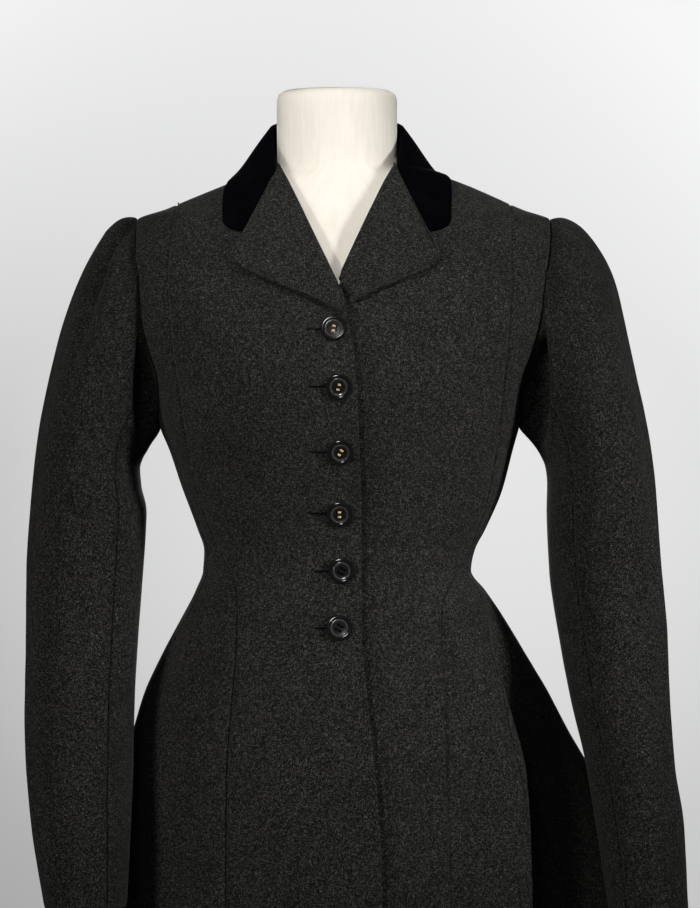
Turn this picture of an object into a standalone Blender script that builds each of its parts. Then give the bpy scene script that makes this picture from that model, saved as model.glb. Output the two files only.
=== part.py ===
# Riding habit jacket on a limbless dress form with a pole and a round base.
# Tables are in millimetres, with heights counted from the waist. Meshes are in metres.
# The front faces -Y. The wearer's right side is at -X and the left side at +X.
# Angles run round the body from the centre front: +90 is the left side, -90 the right.

import math
from collections import namedtuple

import bmesh
import bpy
from mathutils import Vector

MM = 0.001
WAIST_HEIGHT = 960.0
CLOTH = 2.0
SEAM_GAP = 0.3
LAP_STEP = 2.9
LAP_START = 3.5
LAP_END = 12.5
LAP_SHARE = 0.025
LAP_FADE_START = 263.0
LAP_FADE = 45.0
LAPEL_LIFT = 0.6
LAPEL_CLOTH = 2.0

# Body of the jacket: half widths and depths of level sections, from hem to neck.
Section = namedtuple("Section", "height right left front back roundness")
BODY = (
    Section(-335, 228, 280, 148, 176, 2.00),
    Section(-285, 219, 268, 142, 166, 2.00),
    Section(-235, 208, 249, 135, 153, 2.00),
    Section(-185, 195, 228, 127, 140, 2.02),
    Section(-143, 182, 205, 119, 128, 2.05),
    Section(-107, 171, 187, 110, 115, 2.10),
    Section(-71, 154, 166, 101, 104, 2.15),
    Section(-36, 135, 145, 93, 93, 2.20),
    Section(-18, 126, 132, 89, 88, 2.20),
    Section(0, 119.5, 119.5, 86, 84, 2.20),
    Section(18, 118.5, 123, 86, 84, 2.20),
    Section(36, 124, 132, 89, 86, 2.25),
    Section(71, 137, 147, 99, 91, 2.25),
    Section(107, 149, 156.5, 111, 96, 2.30),
    Section(130, 158, 163, 118, 99, 2.30),
    Section(152, 163, 168, 124, 102, 2.30),
    Section(171, 169, 175, 126, 104, 2.30),
    Section(192, 180, 187, 125, 105, 2.30),
    Section(232, 194, 203, 116, 104, 2.30),
    Section(272, 196, 207, 101, 100, 2.30),
    Section(293, 189, 201, 91, 95, 2.30),
    Section(307, 181, 193, 82, 90, 2.30),
    Section(312, 177, 189, 78, 88, 2.30),
    Section(320, 153, 166, 73, 84, 2.30),
    Section(329, 131, 145, 68, 80, 2.30),
    Section(344, 95, 111, 61, 71, 2.30),
    Section(352, 77, 90, 58, 67, 2.30),
    Section(360, 61, 63, 55, 64, 2.30),
    Section(366, 56, 57, 52, 61, 2.30),
)

# Soft folds of the jacket skirt: outward at a ridge, inward at a hollow, full size at the hem.
Fold = namedtuple("Fold", "angle spread height")
SKIRT_FOLDS = (
    Fold(37, 8, 7),
    Fold(88, 12, 5),
    Fold(-74, 9, 4),
    Fold(-52, 14, -4),
    Fold(-100, 10, -5),
    Fold(118, 12, -5),
    Fold(-125, 12, 5),
    Fold(142, 12, 6),
    Fold(-152, 9, -5),
    Fold(166, 8, -5),
)
FOLD_TOP = -30.0

# Deep hollow of the left side, behind the side front seam: its middle, its depth and how far it
# spreads forward and backward in degrees.
Hollow = namedtuple("Hollow", "height angle depth")
SIDE_HOLLOW = (
    Hollow(-335, 46, 54),
    Hollow(-285, 48.5, 52),
    Hollow(-200, 56, 46),
    Hollow(-150, 60.5, 33),
    Hollow(-107, 62, 24),
    Hollow(-71, 64, 13),
    Hollow(-40, 70, 5),
    Hollow(-20, 77, 0),
    Hollow(20, 84, 0),
)
HOLLOW_FORWARD = 6.5
HOLLOW_BACKWARD = 14.0

# Rows of points up each panel: below the armhole, then up to the shoulder seam.
LOWER_ROWS = (-335, -288, -240, -192, -148, -108, -72, -44, -22, -4, 14, 34, 58, 83, 108)
ARM_ROWS = 2
SHOULDER_ROWS = 9
ARM_ROW = len(LOWER_ROWS) - 1 + ARM_ROWS
TOP_ROW = ARM_ROW + SHOULDER_ROWS

# Armhole: a loop seen from the side, turned by an angle from the shoulder tip.
ARM_MIDDLE = 219.0
ARM_RISE = 93.0
ARM_DEPTH = 63.0
ARM_CORNER_TURN = 142.0
ARM_CORNER_HEIGHT = ARM_MIDDLE + ARM_RISE * math.cos(math.radians(ARM_CORNER_TURN))

# Princess seam of the front, as seen from the front, and its end on the shoulder.
Seam = namedtuple("Seam", "height right left")
PRINCESS = (
    Seam(-335, 96, 98),
    Seam(-285, 95, 97),
    Seam(-170, 94.5, 95),
    Seam(-110, 90.5, 94),
    Seam(-60, 87, 91),
    Seam(-30, 86.5, 92),
    Seam(-12, 88, 99),
    Seam(7, 97, 111),
    Seam(30, 109, 122),
    Seam(63, 121, 132),
    Seam(100, 129, 139),
    Seam(141, 135, 144),
    Seam(191, 142, 149),
    Seam(263, 147, 153),
    Seam(330, 141, 154),
)
SHOULDER_SEAM_RIGHT = 141.0
SHOULDER_SEAM_LEFT = 154.0

# Side seams as angles round the body.
FRONT_SIDE_SEAM = (
    Seam(-335, 70, 37),
    Seam(-185, 73, 45),
    Seam(-112, 75, 50),
    Seam(-63, 74, 56),
    Seam(-10, 74, 72),
    Seam(60, 75, 75),
    Seam(135, 75, 75),
)
BACK_SIDE_SEAM = (
    Seam(-335, 104, 57),
    Seam(-200, 104, 62),
    Seam(-136, 104, 64),
    Seam(-60, 105, 78),
    Seam(0, 106, 96),
    Seam(60, 108, 107),
    Seam(135, 108, 108),
)
BACK_SEAM = (
    Seam(-335, 143, 143),
    Seam(-150, 148, 148),
    Seam(0, 158, 158),
    Seam(60, 155, 155),
    Seam(110, 149, 149),
    Seam(150, 142, 142),
)
BACK_SEAM_END_ROW = ARM_ROW + 4
BACK_SEAM_END_WIDTH = 1.4

# Front edges, as seen from the front: the right front laps over the left.
Edge = namedtuple("Edge", "height right left")
FRONT_EDGES = (
    Edge(-335, 40, -6),
    Edge(-285, 39.5, -6),
    Edge(-228, 38, -7),
    Edge(-179, 34, -9),
    Edge(-139, 30, -12),
    Edge(-90, 25, -16),
    Edge(-55, 22, -19),
    Edge(0, 21.5, -21),
    Edge(50, 21.5, -22),
    Edge(102, 20, -22),
    Edge(155, 18, -22),
    Edge(190, 15, -22),
    Edge(216, 10.5, -20),
    Edge(229, 6, -13),
    Edge(250, -3, 2),
    Edge(300, -26.5, 25.5),
    Edge(344, -47.5, 46),
    Edge(358, -56, 55),
)
NECK_HEIGHT = 360.0
BACK_NECK_HEIGHT = 352.0
NECK_ROWS = 3

# Lapels, as seen from the front: from the roll line to the outer edge.
LapelRow = namedtuple("LapelRow", "roll_x roll_z edge_x edge_z")
RIGHT_LAPEL = (
    LapelRow(-50.5, 355.0, -91.0, 274.0),
    LapelRow(-43.0, 340.0, -84.0, 265.0),
    LapelRow(-34.0, 321.0, -70.0, 257.0),
    LapelRow(-22.5, 296.5, -48.0, 247.0),
    LapelRow(-11.5, 273.5, -27.0, 238.5),
    LapelRow(-1.0, 251.0, -12.0, 232.0),
    LapelRow(4.5, 238.0, -1.0, 227.0),
    LapelRow(9.0, 225.0, 6.5, 221.5),
)
LEFT_LAPEL = (
    LapelRow(50.5, 355.0, 90.0, 273.0),
    LapelRow(41.5, 338.0, 81.0, 263.5),
    LapelRow(32.5, 319.0, 66.0, 256.0),
    LapelRow(22.5, 298.0, 47.0, 248.0),
    LapelRow(12.5, 277.0, 28.5, 240.0),
    LapelRow(2.2, 254.5, 14.0, 233.0),
)
LAPEL_ACROSS = 6
LAPEL_ROWS = 12

# Collar: its fall from the roll down to the outer edge, for one side, from the gorge to the back.
CollarRow = namedtuple("CollarRow", "roll_x roll_y roll_z edge_x edge_y edge_z bulge")
COLLAR = (
    CollarRow(82.0, -86, 296.8, 98.5, -80, 301.0, 0),
    CollarRow(72.5, -73, 317.0, 99.5, -62, 320.0, 0),
    CollarRow(62.8, -60, 337.2, 98.0, -38, 336.0, 0),
    CollarRow(54.5, -47, 356.0, 95.5, -12, 346.0, 1),
    CollarRow(57.5, -18, 376.0, 93.0, 10, 348.5, 3),
    CollarRow(58.5, 8, 393.0, 87.0, 36, 349.0, 4),
    CollarRow(48.5, 37, 400.0, 70.0, 62, 346.0, 4),
    CollarRow(28.0, 55, 402.5, 40.0, 78, 342.0, 4),
    CollarRow(0.0, 62.5, 403.0, 0.0, 84, 340.0, 4),
)
COLLAR_ACROSS = 5
COLLAR_ROWS = 34
COLLAR_CLOTH = 2.0
COLLAR_LIFT = 1.1
STAND_CLOTH = 1.5
STAND_SEAT = 0.6
STAND_FIRST_ROW = 3.7
STAND_ROWS = 24

# Sleeves: sections from the armhole to the cuff, each between an outer and an inner point.
SleeveRow = namedtuple("SleeveRow", "outer_x outer_z inner_x inner_z middle_y half_depth")
RIGHT_SLEEVE = (
    SleeveRow(177.5, 312, 157, 126, 0, 63),
    SleeveRow(190, 313, 159, 121, -1, 67),
    SleeveRow(204, 301, 162, 117, -2, 71),
    SleeveRow(220, 277, 165.5, 112, -2, 75),
    SleeveRow(234, 247, 169, 106, -2, 77),
    SleeveRow(246, 211, 173, 99, -2, 78),
    SleeveRow(257, 165, 175.5, 90, -2, 76),
    SleeveRow(267, 108, 174, 74, -4, 72),
    SleeveRow(272, 55, 169.5, 50, -6, 68),
    SleeveRow(275, 0, 172, 0, -12, 64),
    SleeveRow(274.5, -58, 175, -58, -28, 60),
    SleeveRow(273.5, -112, 177, -112, -48, 56),
    SleeveRow(271, -164, 177.5, -164, -68, 52),
    SleeveRow(264, -219, 178, -219, -90, 47),
    SleeveRow(251, -287, 180.5, -285, -108, 40),
)
LEFT_SLEEVE = (
    SleeveRow(189.5, 312, 162, 126, 0, 63),
    SleeveRow(202, 315, 165, 122, -1, 67),
    SleeveRow(217, 305, 169, 118, -2, 71),
    SleeveRow(232, 287, 173.5, 113, -2, 75),
    SleeveRow(246, 259, 178, 107, -2, 77),
    SleeveRow(255, 224, 182, 100, -2, 78),
    SleeveRow(266, 173, 185.5, 91, -2, 76),
    SleeveRow(278.5, 112, 187, 76, -4, 72),
    SleeveRow(284, 62, 186.5, 52, -6, 68),
    SleeveRow(288, 0, 188.5, 0, -10, 64),
    SleeveRow(292, -59, 196.5, -59, -24, 60),
    SleeveRow(292.5, -112, 205, -112, -44, 55),
    SleeveRow(294.5, -164, 216.5, -164, -64, 50),
    SleeveRow(301.5, -221, 225, -221, -80, 46),
    SleeveRow(304, -302, 236, -300, -98, 40),
)
SLEEVE_GAP = 0.5
SLEEVE_ROWS = 24
SLEEVE_STEP = ARM_CORNER_TURN / SHOULDER_ROWS
SLEEVE_SEAM_STEPS = 8
UNDER_SLEEVE_STEPS = 4
GATHER_TURN = 4 * SLEEVE_STEP
GATHER_HEIGHT = 2.0

# Buttons, as seen from the front.
Button = namedtuple("Button", "x z seat")
BUTTONS = (
    Button(-2.5, 210.5, -0.44),
    Button(1.8, 160.5, -0.37),
    Button(3.5, 104.8, 0.0),
    Button(2.6, 51.5, 0.38),
    Button(4.3, 2.0, 0.71),
    Button(2.2, -47.5, 0.32),
)
BUTTON_RADIUS = 11.2
BUTTON_HEIGHT = 3.6
BUTTON_STEPS = 16

# Dress form: sections from the underside of the hips to the flat top of the neck.
FORM = (
    Section(-232, 143, 143, 94, 103, 2.2),
    Section(-228, 150, 150, 99, 108, 2.2),
    Section(-200, 157, 158, 102, 112, 2.2),
    Section(-150, 157, 158, 103, 112, 2.2),
    Section(-100, 147, 150, 98, 103, 2.2),
    Section(-50, 128, 131, 88, 89, 2.2),
    Section(-20, 118, 120, 82, 80.5, 2.2),
    Section(0, 113, 112.5, 78.5, 77.5, 2.2),
    Section(18, 112, 116, 78.5, 77.5, 2.2),
    Section(50, 123, 131, 85, 81, 2.25),
    Section(90, 136, 143, 98, 87, 2.3),
    Section(125, 149, 152, 110, 92, 2.3),
    Section(160, 154, 158, 117, 95.5, 2.3),
    Section(200, 155, 160, 115.5, 97.5, 2.3),
    Section(240, 156, 165, 105, 96, 2.3),
    Section(270, 158, 170, 93.5, 92.5, 2.3),
    Section(290, 158, 171, 84, 88, 2.3),
    Section(302, 157, 170, 77, 83, 2.3),
    Section(310, 154.5, 167, 72.5, 80, 2.3),
    Section(316, 149, 162, 69, 77, 2.3),
    Section(319.5, 141, 155, 66, 75, 2.3),
    Section(328.3, 121.5, 136, 62, 73, 2.3),
    Section(339, 94.5, 110, 57.5, 68, 2.3),
    Section(347, 76, 88.5, 54, 63.5, 2.3),
    Section(352, 62, 66, 51, 59, 2.2),
    Section(358, 54.5, 54.5, 49, 56, 2.1),
    Section(368, 53.5, 53.5, 48.5, 55, 2.05),
    Section(405, 53.5, 53.5, 48.5, 55, 2.05),
    Section(416, 53.5, 53.5, 48.5, 55, 2.05),
    Section(422.5, 52, 52, 47, 53.5, 2.05),
    Section(425.5, 47, 47, 42, 48.5, 2.05),
)
FORM_ACROSS = 28

# Stand under the form.
POLE_RADIUS = 13.0
POLE_PLATE_RADIUS = 42.0
POLE_PLATE_HEIGHT = 6.0
BASE_RADIUS = 165.0
BASE_HEIGHT = 22.0
STAND_GAP = 0.3
ROUND_STEPS = 28

# Colours, roughness and metallic values of the materials.
FINISHES = {
    "wool": ((0.028, 0.030, 0.029, 1.0), 0.90, 0.0),
    "velvet": ((0.004, 0.004, 0.007, 1.0), 0.95, 0.0),
    "button": ((0.010, 0.010, 0.011, 1.0), 0.16, 0.0),
    "form_cloth": ((0.80, 0.76, 0.68, 1.0), 0.85, 0.0),
    "stand_metal": ((0.035, 0.035, 0.038, 1.0), 0.40, 0.0),
}


class Curve:
    """A smooth line through one column of a table, with no overshoot between rows."""

    def __init__(self, keys, values):
        self.keys = list(keys)
        self.values = list(values)
        steps = []
        for index in range(len(self.keys) - 1):
            rise = self.values[index + 1] - self.values[index]
            steps.append(rise / (self.keys[index + 1] - self.keys[index]))
        self.slopes = [steps[0]]
        for before, after in zip(steps, steps[1:]):
            if before * after <= 0:
                self.slopes.append(0.0)
            else:
                self.slopes.append(2.0 * before * after / (before + after))
        self.slopes.append(steps[-1])

    def __call__(self, key):
        key = min(max(key, self.keys[0]), self.keys[-1])
        index = 0
        while index < len(self.keys) - 2 and key > self.keys[index + 1]:
            index += 1
        span = self.keys[index + 1] - self.keys[index]
        t = (key - self.keys[index]) / span
        start = self.values[index]
        end = self.values[index + 1]
        bend_start = span * self.slopes[index]
        bend_end = span * self.slopes[index + 1]
        return (
            start * (1 + 2 * t) * (1 - t) ** 2
            + bend_start * t * (1 - t) ** 2
            + end * t * t * (3 - 2 * t)
            + bend_end * t * t * (t - 1)
        )


def columns(rows, key="height"):
    """One curve for each column of a table, read along its key column."""
    keys = [getattr(row, key) for row in rows]
    names = [name for name in rows[0]._fields if name != key]
    return {name: Curve(keys, [getattr(row, name) for row in rows]) for name in names}


def indexed(rows):
    """One curve for each column of a table, read by the number of the row."""
    keys = range(len(rows))
    return {name: Curve(keys, [getattr(row, name) for row in rows]) for name in rows[0]._fields}


body = columns(BODY)
princess = columns(PRINCESS)
front_side = columns(FRONT_SIDE_SEAM)
back_side = columns(BACK_SIDE_SEAM)
back_seam = columns(BACK_SEAM)
front_edges = columns(FRONT_EDGES)
side_hollow = columns(SIDE_HOLLOW)


def mix(start, end, share):
    return start + (end - start) * share


def ease(share):
    share = min(max(share, 0.0), 1.0)
    return share * share * (3.0 - 2.0 * share)


def side_name(angle):
    return "left" if angle > 0 else "right"


def side_sign(side):
    return 1.0 if side == "left" else -1.0


def fold_height(angle, height):
    """How far the folds of the skirt push its cloth out at a place."""
    depth = ease((FOLD_TOP - height) / (FOLD_TOP - BODY[0].height))
    total = 0.0
    for fold in SKIRT_FOLDS:
        apart = abs(angle - fold.angle)
        apart = min(apart, 360.0 - apart)
        total += fold.height * math.exp(-((apart / fold.spread) ** 2))
    apart = angle - side_hollow["angle"](height)
    spread = HOLLOW_FORWARD if apart < 0 else HOLLOW_BACKWARD
    hollow = side_hollow["depth"](height) * math.exp(-((apart / spread) ** 2))
    return depth * total - hollow


def body_point(angle, height):
    """The outer surface of the jacket's body."""
    across = math.sin(math.radians(angle))
    ahead = math.cos(math.radians(angle))
    power = 2.0 / body["roundness"](height)
    wide = body[side_name(angle)](height)
    deep = body["front" if ahead >= 0 else "back"](height)
    x = math.copysign(wide * abs(across) ** power, across)
    y = -math.copysign(deep * abs(ahead) ** power, ahead)
    stretch = 1.0 + fold_height(angle, height) / math.hypot(x, y)
    return Vector((x * stretch, y * stretch, height))


def body_normal(angle, height):
    across = body_point(angle + 0.6, height) - body_point(angle - 0.6, height)
    upward = body_point(angle, height + 1.2) - body_point(angle, height - 1.2)
    return across.cross(upward).normalized()


def angle_at(x, height):
    """The angle of the point of the front surface that lies at x."""
    wide = body["left" if x > 0 else "right"](height)
    share = min(1.0, abs(x) / wide) ** (body["roundness"](height) / 2.0)
    return math.copysign(math.degrees(math.asin(min(1.0, share))), x)


def ridge_height(side, x):
    """The height of the shoulder line at a distance from the centre."""
    low, high = BODY[-7].height - 1.0, NECK_HEIGHT
    for _ in range(40):
        middle = (low + high) / 2.0
        if body[side](middle) > x:
            low = middle
        else:
            high = middle
    return (low + high) / 2.0


def row_height(row):
    """Height of a row of points that lies below the corner of the armhole."""
    last = len(LOWER_ROWS) - 1
    if row <= last:
        return LOWER_ROWS[row]
    return mix(LOWER_ROWS[last], ARM_CORNER_HEIGHT, (row - last) / ARM_ROWS)


def arm_turn(row):
    return ARM_CORNER_TURN * (TOP_ROW - row) / SHOULDER_ROWS


def rise(row):
    """Share of the way from the armhole's corner to the shoulder seam."""
    corner = math.cos(math.radians(ARM_CORNER_TURN))
    return (math.cos(math.radians(arm_turn(row))) - corner) / (1.0 - corner)


def armhole_side(turn):
    """The armhole loop seen from the side, as a depth and a height."""
    y = -ARM_DEPTH * math.sin(math.radians(turn))
    z = ARM_MIDDLE + ARM_RISE * math.cos(math.radians(turn))
    return y, z


def armhole_angle(side, turn):
    y, z = armhole_side(turn)
    deep = body["front" if y <= 0 else "back"](z)
    angle = math.degrees(math.acos(min(1.0, (abs(y) / deep) ** (body["roundness"](z) / 2.0))))
    return side_sign(side) * (angle if y <= 0 else 180.0 - angle)


def front_edge_line(side, row):
    """Angle and height along the front edge, the roll line and up to the neck."""
    if row <= ARM_ROW:
        height = row_height(row)
    else:
        height = mix(ARM_CORNER_HEIGHT, NECK_HEIGHT, rise(row))
    if row == TOP_ROW:
        return side_sign(side) * 90.0, NECK_HEIGHT
    return angle_at(front_edges[side](height), height), height


def princess_line(side, row):
    if row <= ARM_ROW:
        height = row_height(row)
    else:
        x = SHOULDER_SEAM_LEFT if side == "left" else SHOULDER_SEAM_RIGHT
        height = mix(ARM_CORNER_HEIGHT, ridge_height(side, x), rise(row))
    if row == TOP_ROW:
        return side_sign(side) * 90.0, height
    return angle_at(side_sign(side) * princess[side](height), height), height


def side_line(seam, side, row, front):
    """A side seam up to the corner of the armhole, then the armhole itself."""
    if row > ARM_ROW:
        turn = arm_turn(row) if front else -arm_turn(row)
        return armhole_angle(side, turn), armhole_side(turn)[1]
    height = row_height(row)
    angle = side_sign(side) * seam[side](height)
    last = len(LOWER_ROWS) - 1
    if row > last:
        turn = ARM_CORNER_TURN if front else -ARM_CORNER_TURN
        angle = mix(angle, armhole_angle(side, turn), (row - last) / ARM_ROWS)
    return angle, height


def front_side_line(side, row):
    return side_line(front_side, side, row, True)


def back_side_line(side, row):
    return side_line(back_side, side, row, False)


def back_line(side, row):
    """The back seam, curving into the armhole, then the armhole up to the shoulder."""
    if row <= ARM_ROW:
        return side_sign(side) * back_seam[side](row_height(row)), row_height(row)
    arm_angle, arm_height = back_side_line(side, row)
    if row > BACK_SEAM_END_ROW:
        return arm_angle, arm_height
    share = (row - ARM_ROW) / (BACK_SEAM_END_ROW - ARM_ROW)
    start = back_seam[side](ARM_CORNER_HEIGHT)
    end = abs(arm_angle) + BACK_SEAM_END_WIDTH
    return side_sign(side) * mix(start, end, share ** 1.2), arm_height


def centre_back_line(side, row):
    turn_row = TOP_ROW - NECK_ROWS
    if row <= ARM_ROW:
        return side_sign(side) * 180.0, row_height(row)
    if row <= turn_row:
        share = rise(row) / rise(turn_row)
        return side_sign(side) * 180.0, mix(ARM_CORNER_HEIGHT, BACK_NECK_HEIGHT, share)
    share = (row - turn_row) / NECK_ROWS
    angle = mix(180.0, 90.0, share)
    return side_sign(side) * angle, mix(BACK_NECK_HEIGHT, NECK_HEIGHT, share)


def armhole_floor(angle):
    """Height of the bottom of the armhole over a point of the underarm panel."""
    height = ARM_CORNER_HEIGHT
    for _ in range(4):
        y = body_point(angle, height).y
        share = min(1.0, abs(y) / ARM_DEPTH)
        height = ARM_MIDDLE - ARM_RISE * math.sqrt(1.0 - share * share)
    return height


def lap_depth(angle, height):
    """How far the left front steps in where the right front lies over it."""
    edge = max(front_edges["right"](height), front_edges["left"](height))
    x = body_point(angle, height).x
    full = 1.0 - ease((x - edge - LAP_START) / (LAP_END - LAP_START))
    return LAP_STEP * full * (1.0 - ease((height - LAP_FADE_START) / LAP_FADE))


def lap_shares(first, last, height, across):
    """Where the columns of the left front stand, with two of them on its step."""
    if first == last:
        return [step / across for step in range(across + 1)]
    shares = [0.0]
    edge = max(front_edges["right"](height), front_edges["left"](height))
    for column, reach in enumerate((LAP_START, LAP_END), start=1):
        angle = angle_at(edge + reach, height)
        shares.append(max(column * LAP_SHARE, (angle - first) / (last - first)))
    rest = across - 2
    shares += [mix(shares[2], 1.0, step / rest) for step in range(1, rest + 1)]
    return shares


def panel_grid(first_line, last_line, across, rows, lapped=False, floor=False):
    """Outer and inner points of a panel between two seams."""
    outer = []
    inner = []
    for row in rows:
        first_angle, first_height = first_line(row)
        last_angle, last_height = last_line(row)
        outer_row = []
        inner_row = []
        shares = [step / across for step in range(across + 1)]
        if lapped:
            shares = lap_shares(first_angle, last_angle, first_height, across)
        for share in shares:
            angle = mix(first_angle, last_angle, share)
            height = mix(first_height, last_height, share)
            if floor and row > len(LOWER_ROWS) - 1:
                part = (row - len(LOWER_ROWS) + 1) / ARM_ROWS
                height = mix(LOWER_ROWS[-1], armhole_floor(angle), part)
            point = body_point(angle, height)
            normal = body_normal(angle, height)
            if lapped:
                point = point - normal * lap_depth(angle, height)
            outer_row.append(point)
            inner_row.append(point - normal * CLOTH)
        outer.append(outer_row)
        inner.append(inner_row)
    return outer, inner


def pulled(edge, inside, index):
    """A point of a seam edge, pulled back square to the seam by half of the seam gap."""
    along = (edge[min(index + 1, len(edge) - 1)] - edge[max(index - 1, 0)]).normalized()
    inward = inside[index] - edge[index]
    inward = (inward - along * inward.dot(along)).normalized()
    return edge[index] + inward * (SEAM_GAP / 2.0)


def draw_back(grid, start, end, top):
    """Pulls the seam edges of a grid of points back from the seams."""
    changes = []
    if start:
        changes.append(([row[0] for row in grid], [row[1] for row in grid], 0))
    if end:
        changes.append(([row[-1] for row in grid], [row[-2] for row in grid], -1))
    for edge, inside, column in changes:
        for index, row in enumerate(grid):
            row[column] = pulled(edge, inside, index)
    if top:
        edge = list(grid[-1])
        for index in range(len(edge)):
            grid[-1][index] = pulled(edge, grid[-2], index)


def to_metres(point):
    return Vector((point.x, point.y, point.z + WAIST_HEIGHT)) * MM


def add_wall(mesh, outer, inner, outward):
    """A closed wall between two grids of points of the same size."""
    rows = len(outer)
    across = len(outer[0])
    shells = []
    for grid in (outer, inner):
        shells.append([[mesh.verts.new(to_metres(point)) for point in row] for row in grid])
    front, back = shells
    flip = not outward

    def face(*corners):
        mesh.faces.new(tuple(reversed(corners)) if flip else corners)

    for row in range(rows - 1):
        for step in range(across - 1):
            a, b = front[row][step], front[row][step + 1]
            c, d = front[row + 1][step + 1], front[row + 1][step]
            face(a, b, c)
            face(a, c, d)
            a, b = back[row][step], back[row][step + 1]
            c, d = back[row + 1][step + 1], back[row + 1][step]
            face(a, c, b)
            face(a, d, c)
    for row in range(rows - 1):
        face(front[row][0], front[row + 1][0], back[row + 1][0])
        face(front[row][0], back[row + 1][0], back[row][0])
        face(front[row + 1][-1], front[row][-1], back[row + 1][-1])
        face(front[row][-1], back[row][-1], back[row + 1][-1])
    for step in range(across - 1):
        face(front[0][step + 1], front[0][step], back[0][step])
        face(front[0][step + 1], back[0][step], back[0][step + 1])
        face(front[-1][step], front[-1][step + 1], back[-1][step + 1])
        face(front[-1][step], back[-1][step + 1], back[-1][step])


def make_material(name):
    colour, roughness, metallic = FINISHES[name]
    material = bpy.data.materials.new(name)
    material.use_nodes = True
    shader = material.node_tree.nodes["Principled BSDF"]
    shader.inputs["Base Color"].default_value = colour
    shader.inputs["Roughness"].default_value = roughness
    shader.inputs["Metallic"].default_value = metallic
    material.diffuse_color = colour
    return material


def finish_object(name, mesh, material, crease=40.0):
    """Turns a mesh into a named object with smooth faces and sharp rims."""
    data = bpy.data.meshes.new(name)
    mesh.to_mesh(data)
    mesh.free()
    data.shade_smooth()
    data.set_sharp_from_angle(angle=math.radians(crease))
    data.materials.append(material)
    item = bpy.data.objects.new(name, data)
    bpy.context.scene.collection.objects.link(item)
    return item


def wall_object(name, outer, inner, material, outward=True):
    mesh = bmesh.new()
    add_wall(mesh, outer, inner, outward)
    return finish_object(name, mesh, material)


def body_panel(name, side, first, last, across, rows, material, lapped=False, floor=False,
               seams=(True, True, True)):
    """One panel of the jacket's body, between two seams of one side."""
    outer, inner = panel_grid(
        lambda row: first(side, row), lambda row: last(side, row), across, rows, lapped, floor
    )
    for grid in (outer, inner):
        draw_back(grid, *seams)
    return wall_object(f"{name}_{side}", outer, inner, material, outward=side == "left")


def make_body(material):
    """Ten panels: front, side front, underarm, side back and back on each side."""
    every_row = range(TOP_ROW + 1)
    arm_rows = range(ARM_ROW + 1)
    back_rows = range(BACK_SEAM_END_ROW + 1)
    for side in ("right", "left"):
        lapped = side == "left"
        body_panel("front", side, front_edge_line, princess_line, 7, every_row, material,
                   lapped=lapped, seams=(False, True, True))
        body_panel("side_front", side, princess_line, front_side_line, 4, every_row, material)
        body_panel("underarm", side, front_side_line, back_side_line, 4, arm_rows, material,
                   floor=True, seams=(True, True, False))
        body_panel("side_back", side, back_side_line, back_line, 4, back_rows, material,
                   seams=(True, True, False))
        body_panel("back", side, back_line, centre_back_line, 5, every_row, material)


def on_front(x, z, lift):
    """A point of the front, seen at x and z, moved out from the cloth."""
    angle = angle_at(x, z)
    return body_point(angle, z) + body_normal(angle, z) * lift


def make_lapel(name, rows, lapped, material):
    """A lapel that lies on its front, folded at the roll line."""
    table = indexed(rows)
    outer = []
    inner = []
    for row in range(LAPEL_ROWS + 1):
        key = row / LAPEL_ROWS * (len(rows) - 1)
        values = {column: curve(key) for column, curve in table.items()}
        outer_row = []
        inner_row = []
        for step in range(LAPEL_ACROSS + 1):
            share = step / LAPEL_ACROSS
            x = mix(values["roll_x"], values["edge_x"], share)
            z = mix(values["roll_z"], values["edge_z"], share)
            lift = LAPEL_LIFT + 1.6 * (1.0 - share) ** 3
            if lapped:
                lift -= lap_depth(angle_at(x, z), z)
            inner_row.append(on_front(x, z, lift))
            outer_row.append(on_front(x, z, lift + LAPEL_CLOTH))
        outer.append(outer_row)
        inner.append(inner_row)
    return wall_object(name, outer, inner, material, outward=not lapped)


def angle_toward(point, height):
    """The angle of the body's surface that a point lies out from, and how far it reaches."""
    wide = body["left" if point.x > 0 else "right"](height)
    deep = body["front" if point.y <= 0 else "back"](height)
    power = body["roundness"](height)
    across = (abs(point.x) / wide) ** (power / 2)
    ahead = (abs(point.y) / deep) ** (power / 2)
    angle = math.atan2(math.copysign(across, point.x), math.copysign(ahead, -point.y))
    return math.degrees(angle), (across * across + ahead * ahead) ** (1 / power)


def clear_of_body(point, gap):
    """Moves a point out until it clears the body of the jacket."""
    moved = point.copy()
    for _ in range(3):
        height = min(moved.z, NECK_HEIGHT + 6.0)
        angle, reach = angle_toward(moved, height)
        normal = body_normal(angle, height)
        level = Vector((moved.x, moved.y, 0.0))
        away = level.length * (1.0 - 1.0 / reach) * normal.dot(level.normalized())
        if away >= gap:
            return moved
        moved = moved + normal * (gap - away)
    return moved


def collar_rows(side):
    sign = side_sign(side)
    return [
        row._replace(roll_x=row.roll_x * sign, edge_x=row.edge_x * sign) for row in COLLAR
    ]


def whole_collar():
    """Rows of the collar from the right gorge round the back to the left gorge."""
    right = collar_rows("right")
    left = collar_rows("left")
    return right + left[-2::-1]


def grid_normals(grid):
    """A normal at each point of a grid, from its neighbours."""
    normals = []
    for row in range(len(grid)):
        below = grid[max(row - 1, 0)]
        above = grid[min(row + 1, len(grid) - 1)]
        normal_row = []
        for step in range(len(grid[row])):
            before = grid[row][max(step - 1, 0)]
            after = grid[row][min(step + 1, len(grid[row]) - 1)]
            normal_row.append((after - before).cross(above[step] - below[step]).normalized())
        normals.append(normal_row)
    return normals


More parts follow.
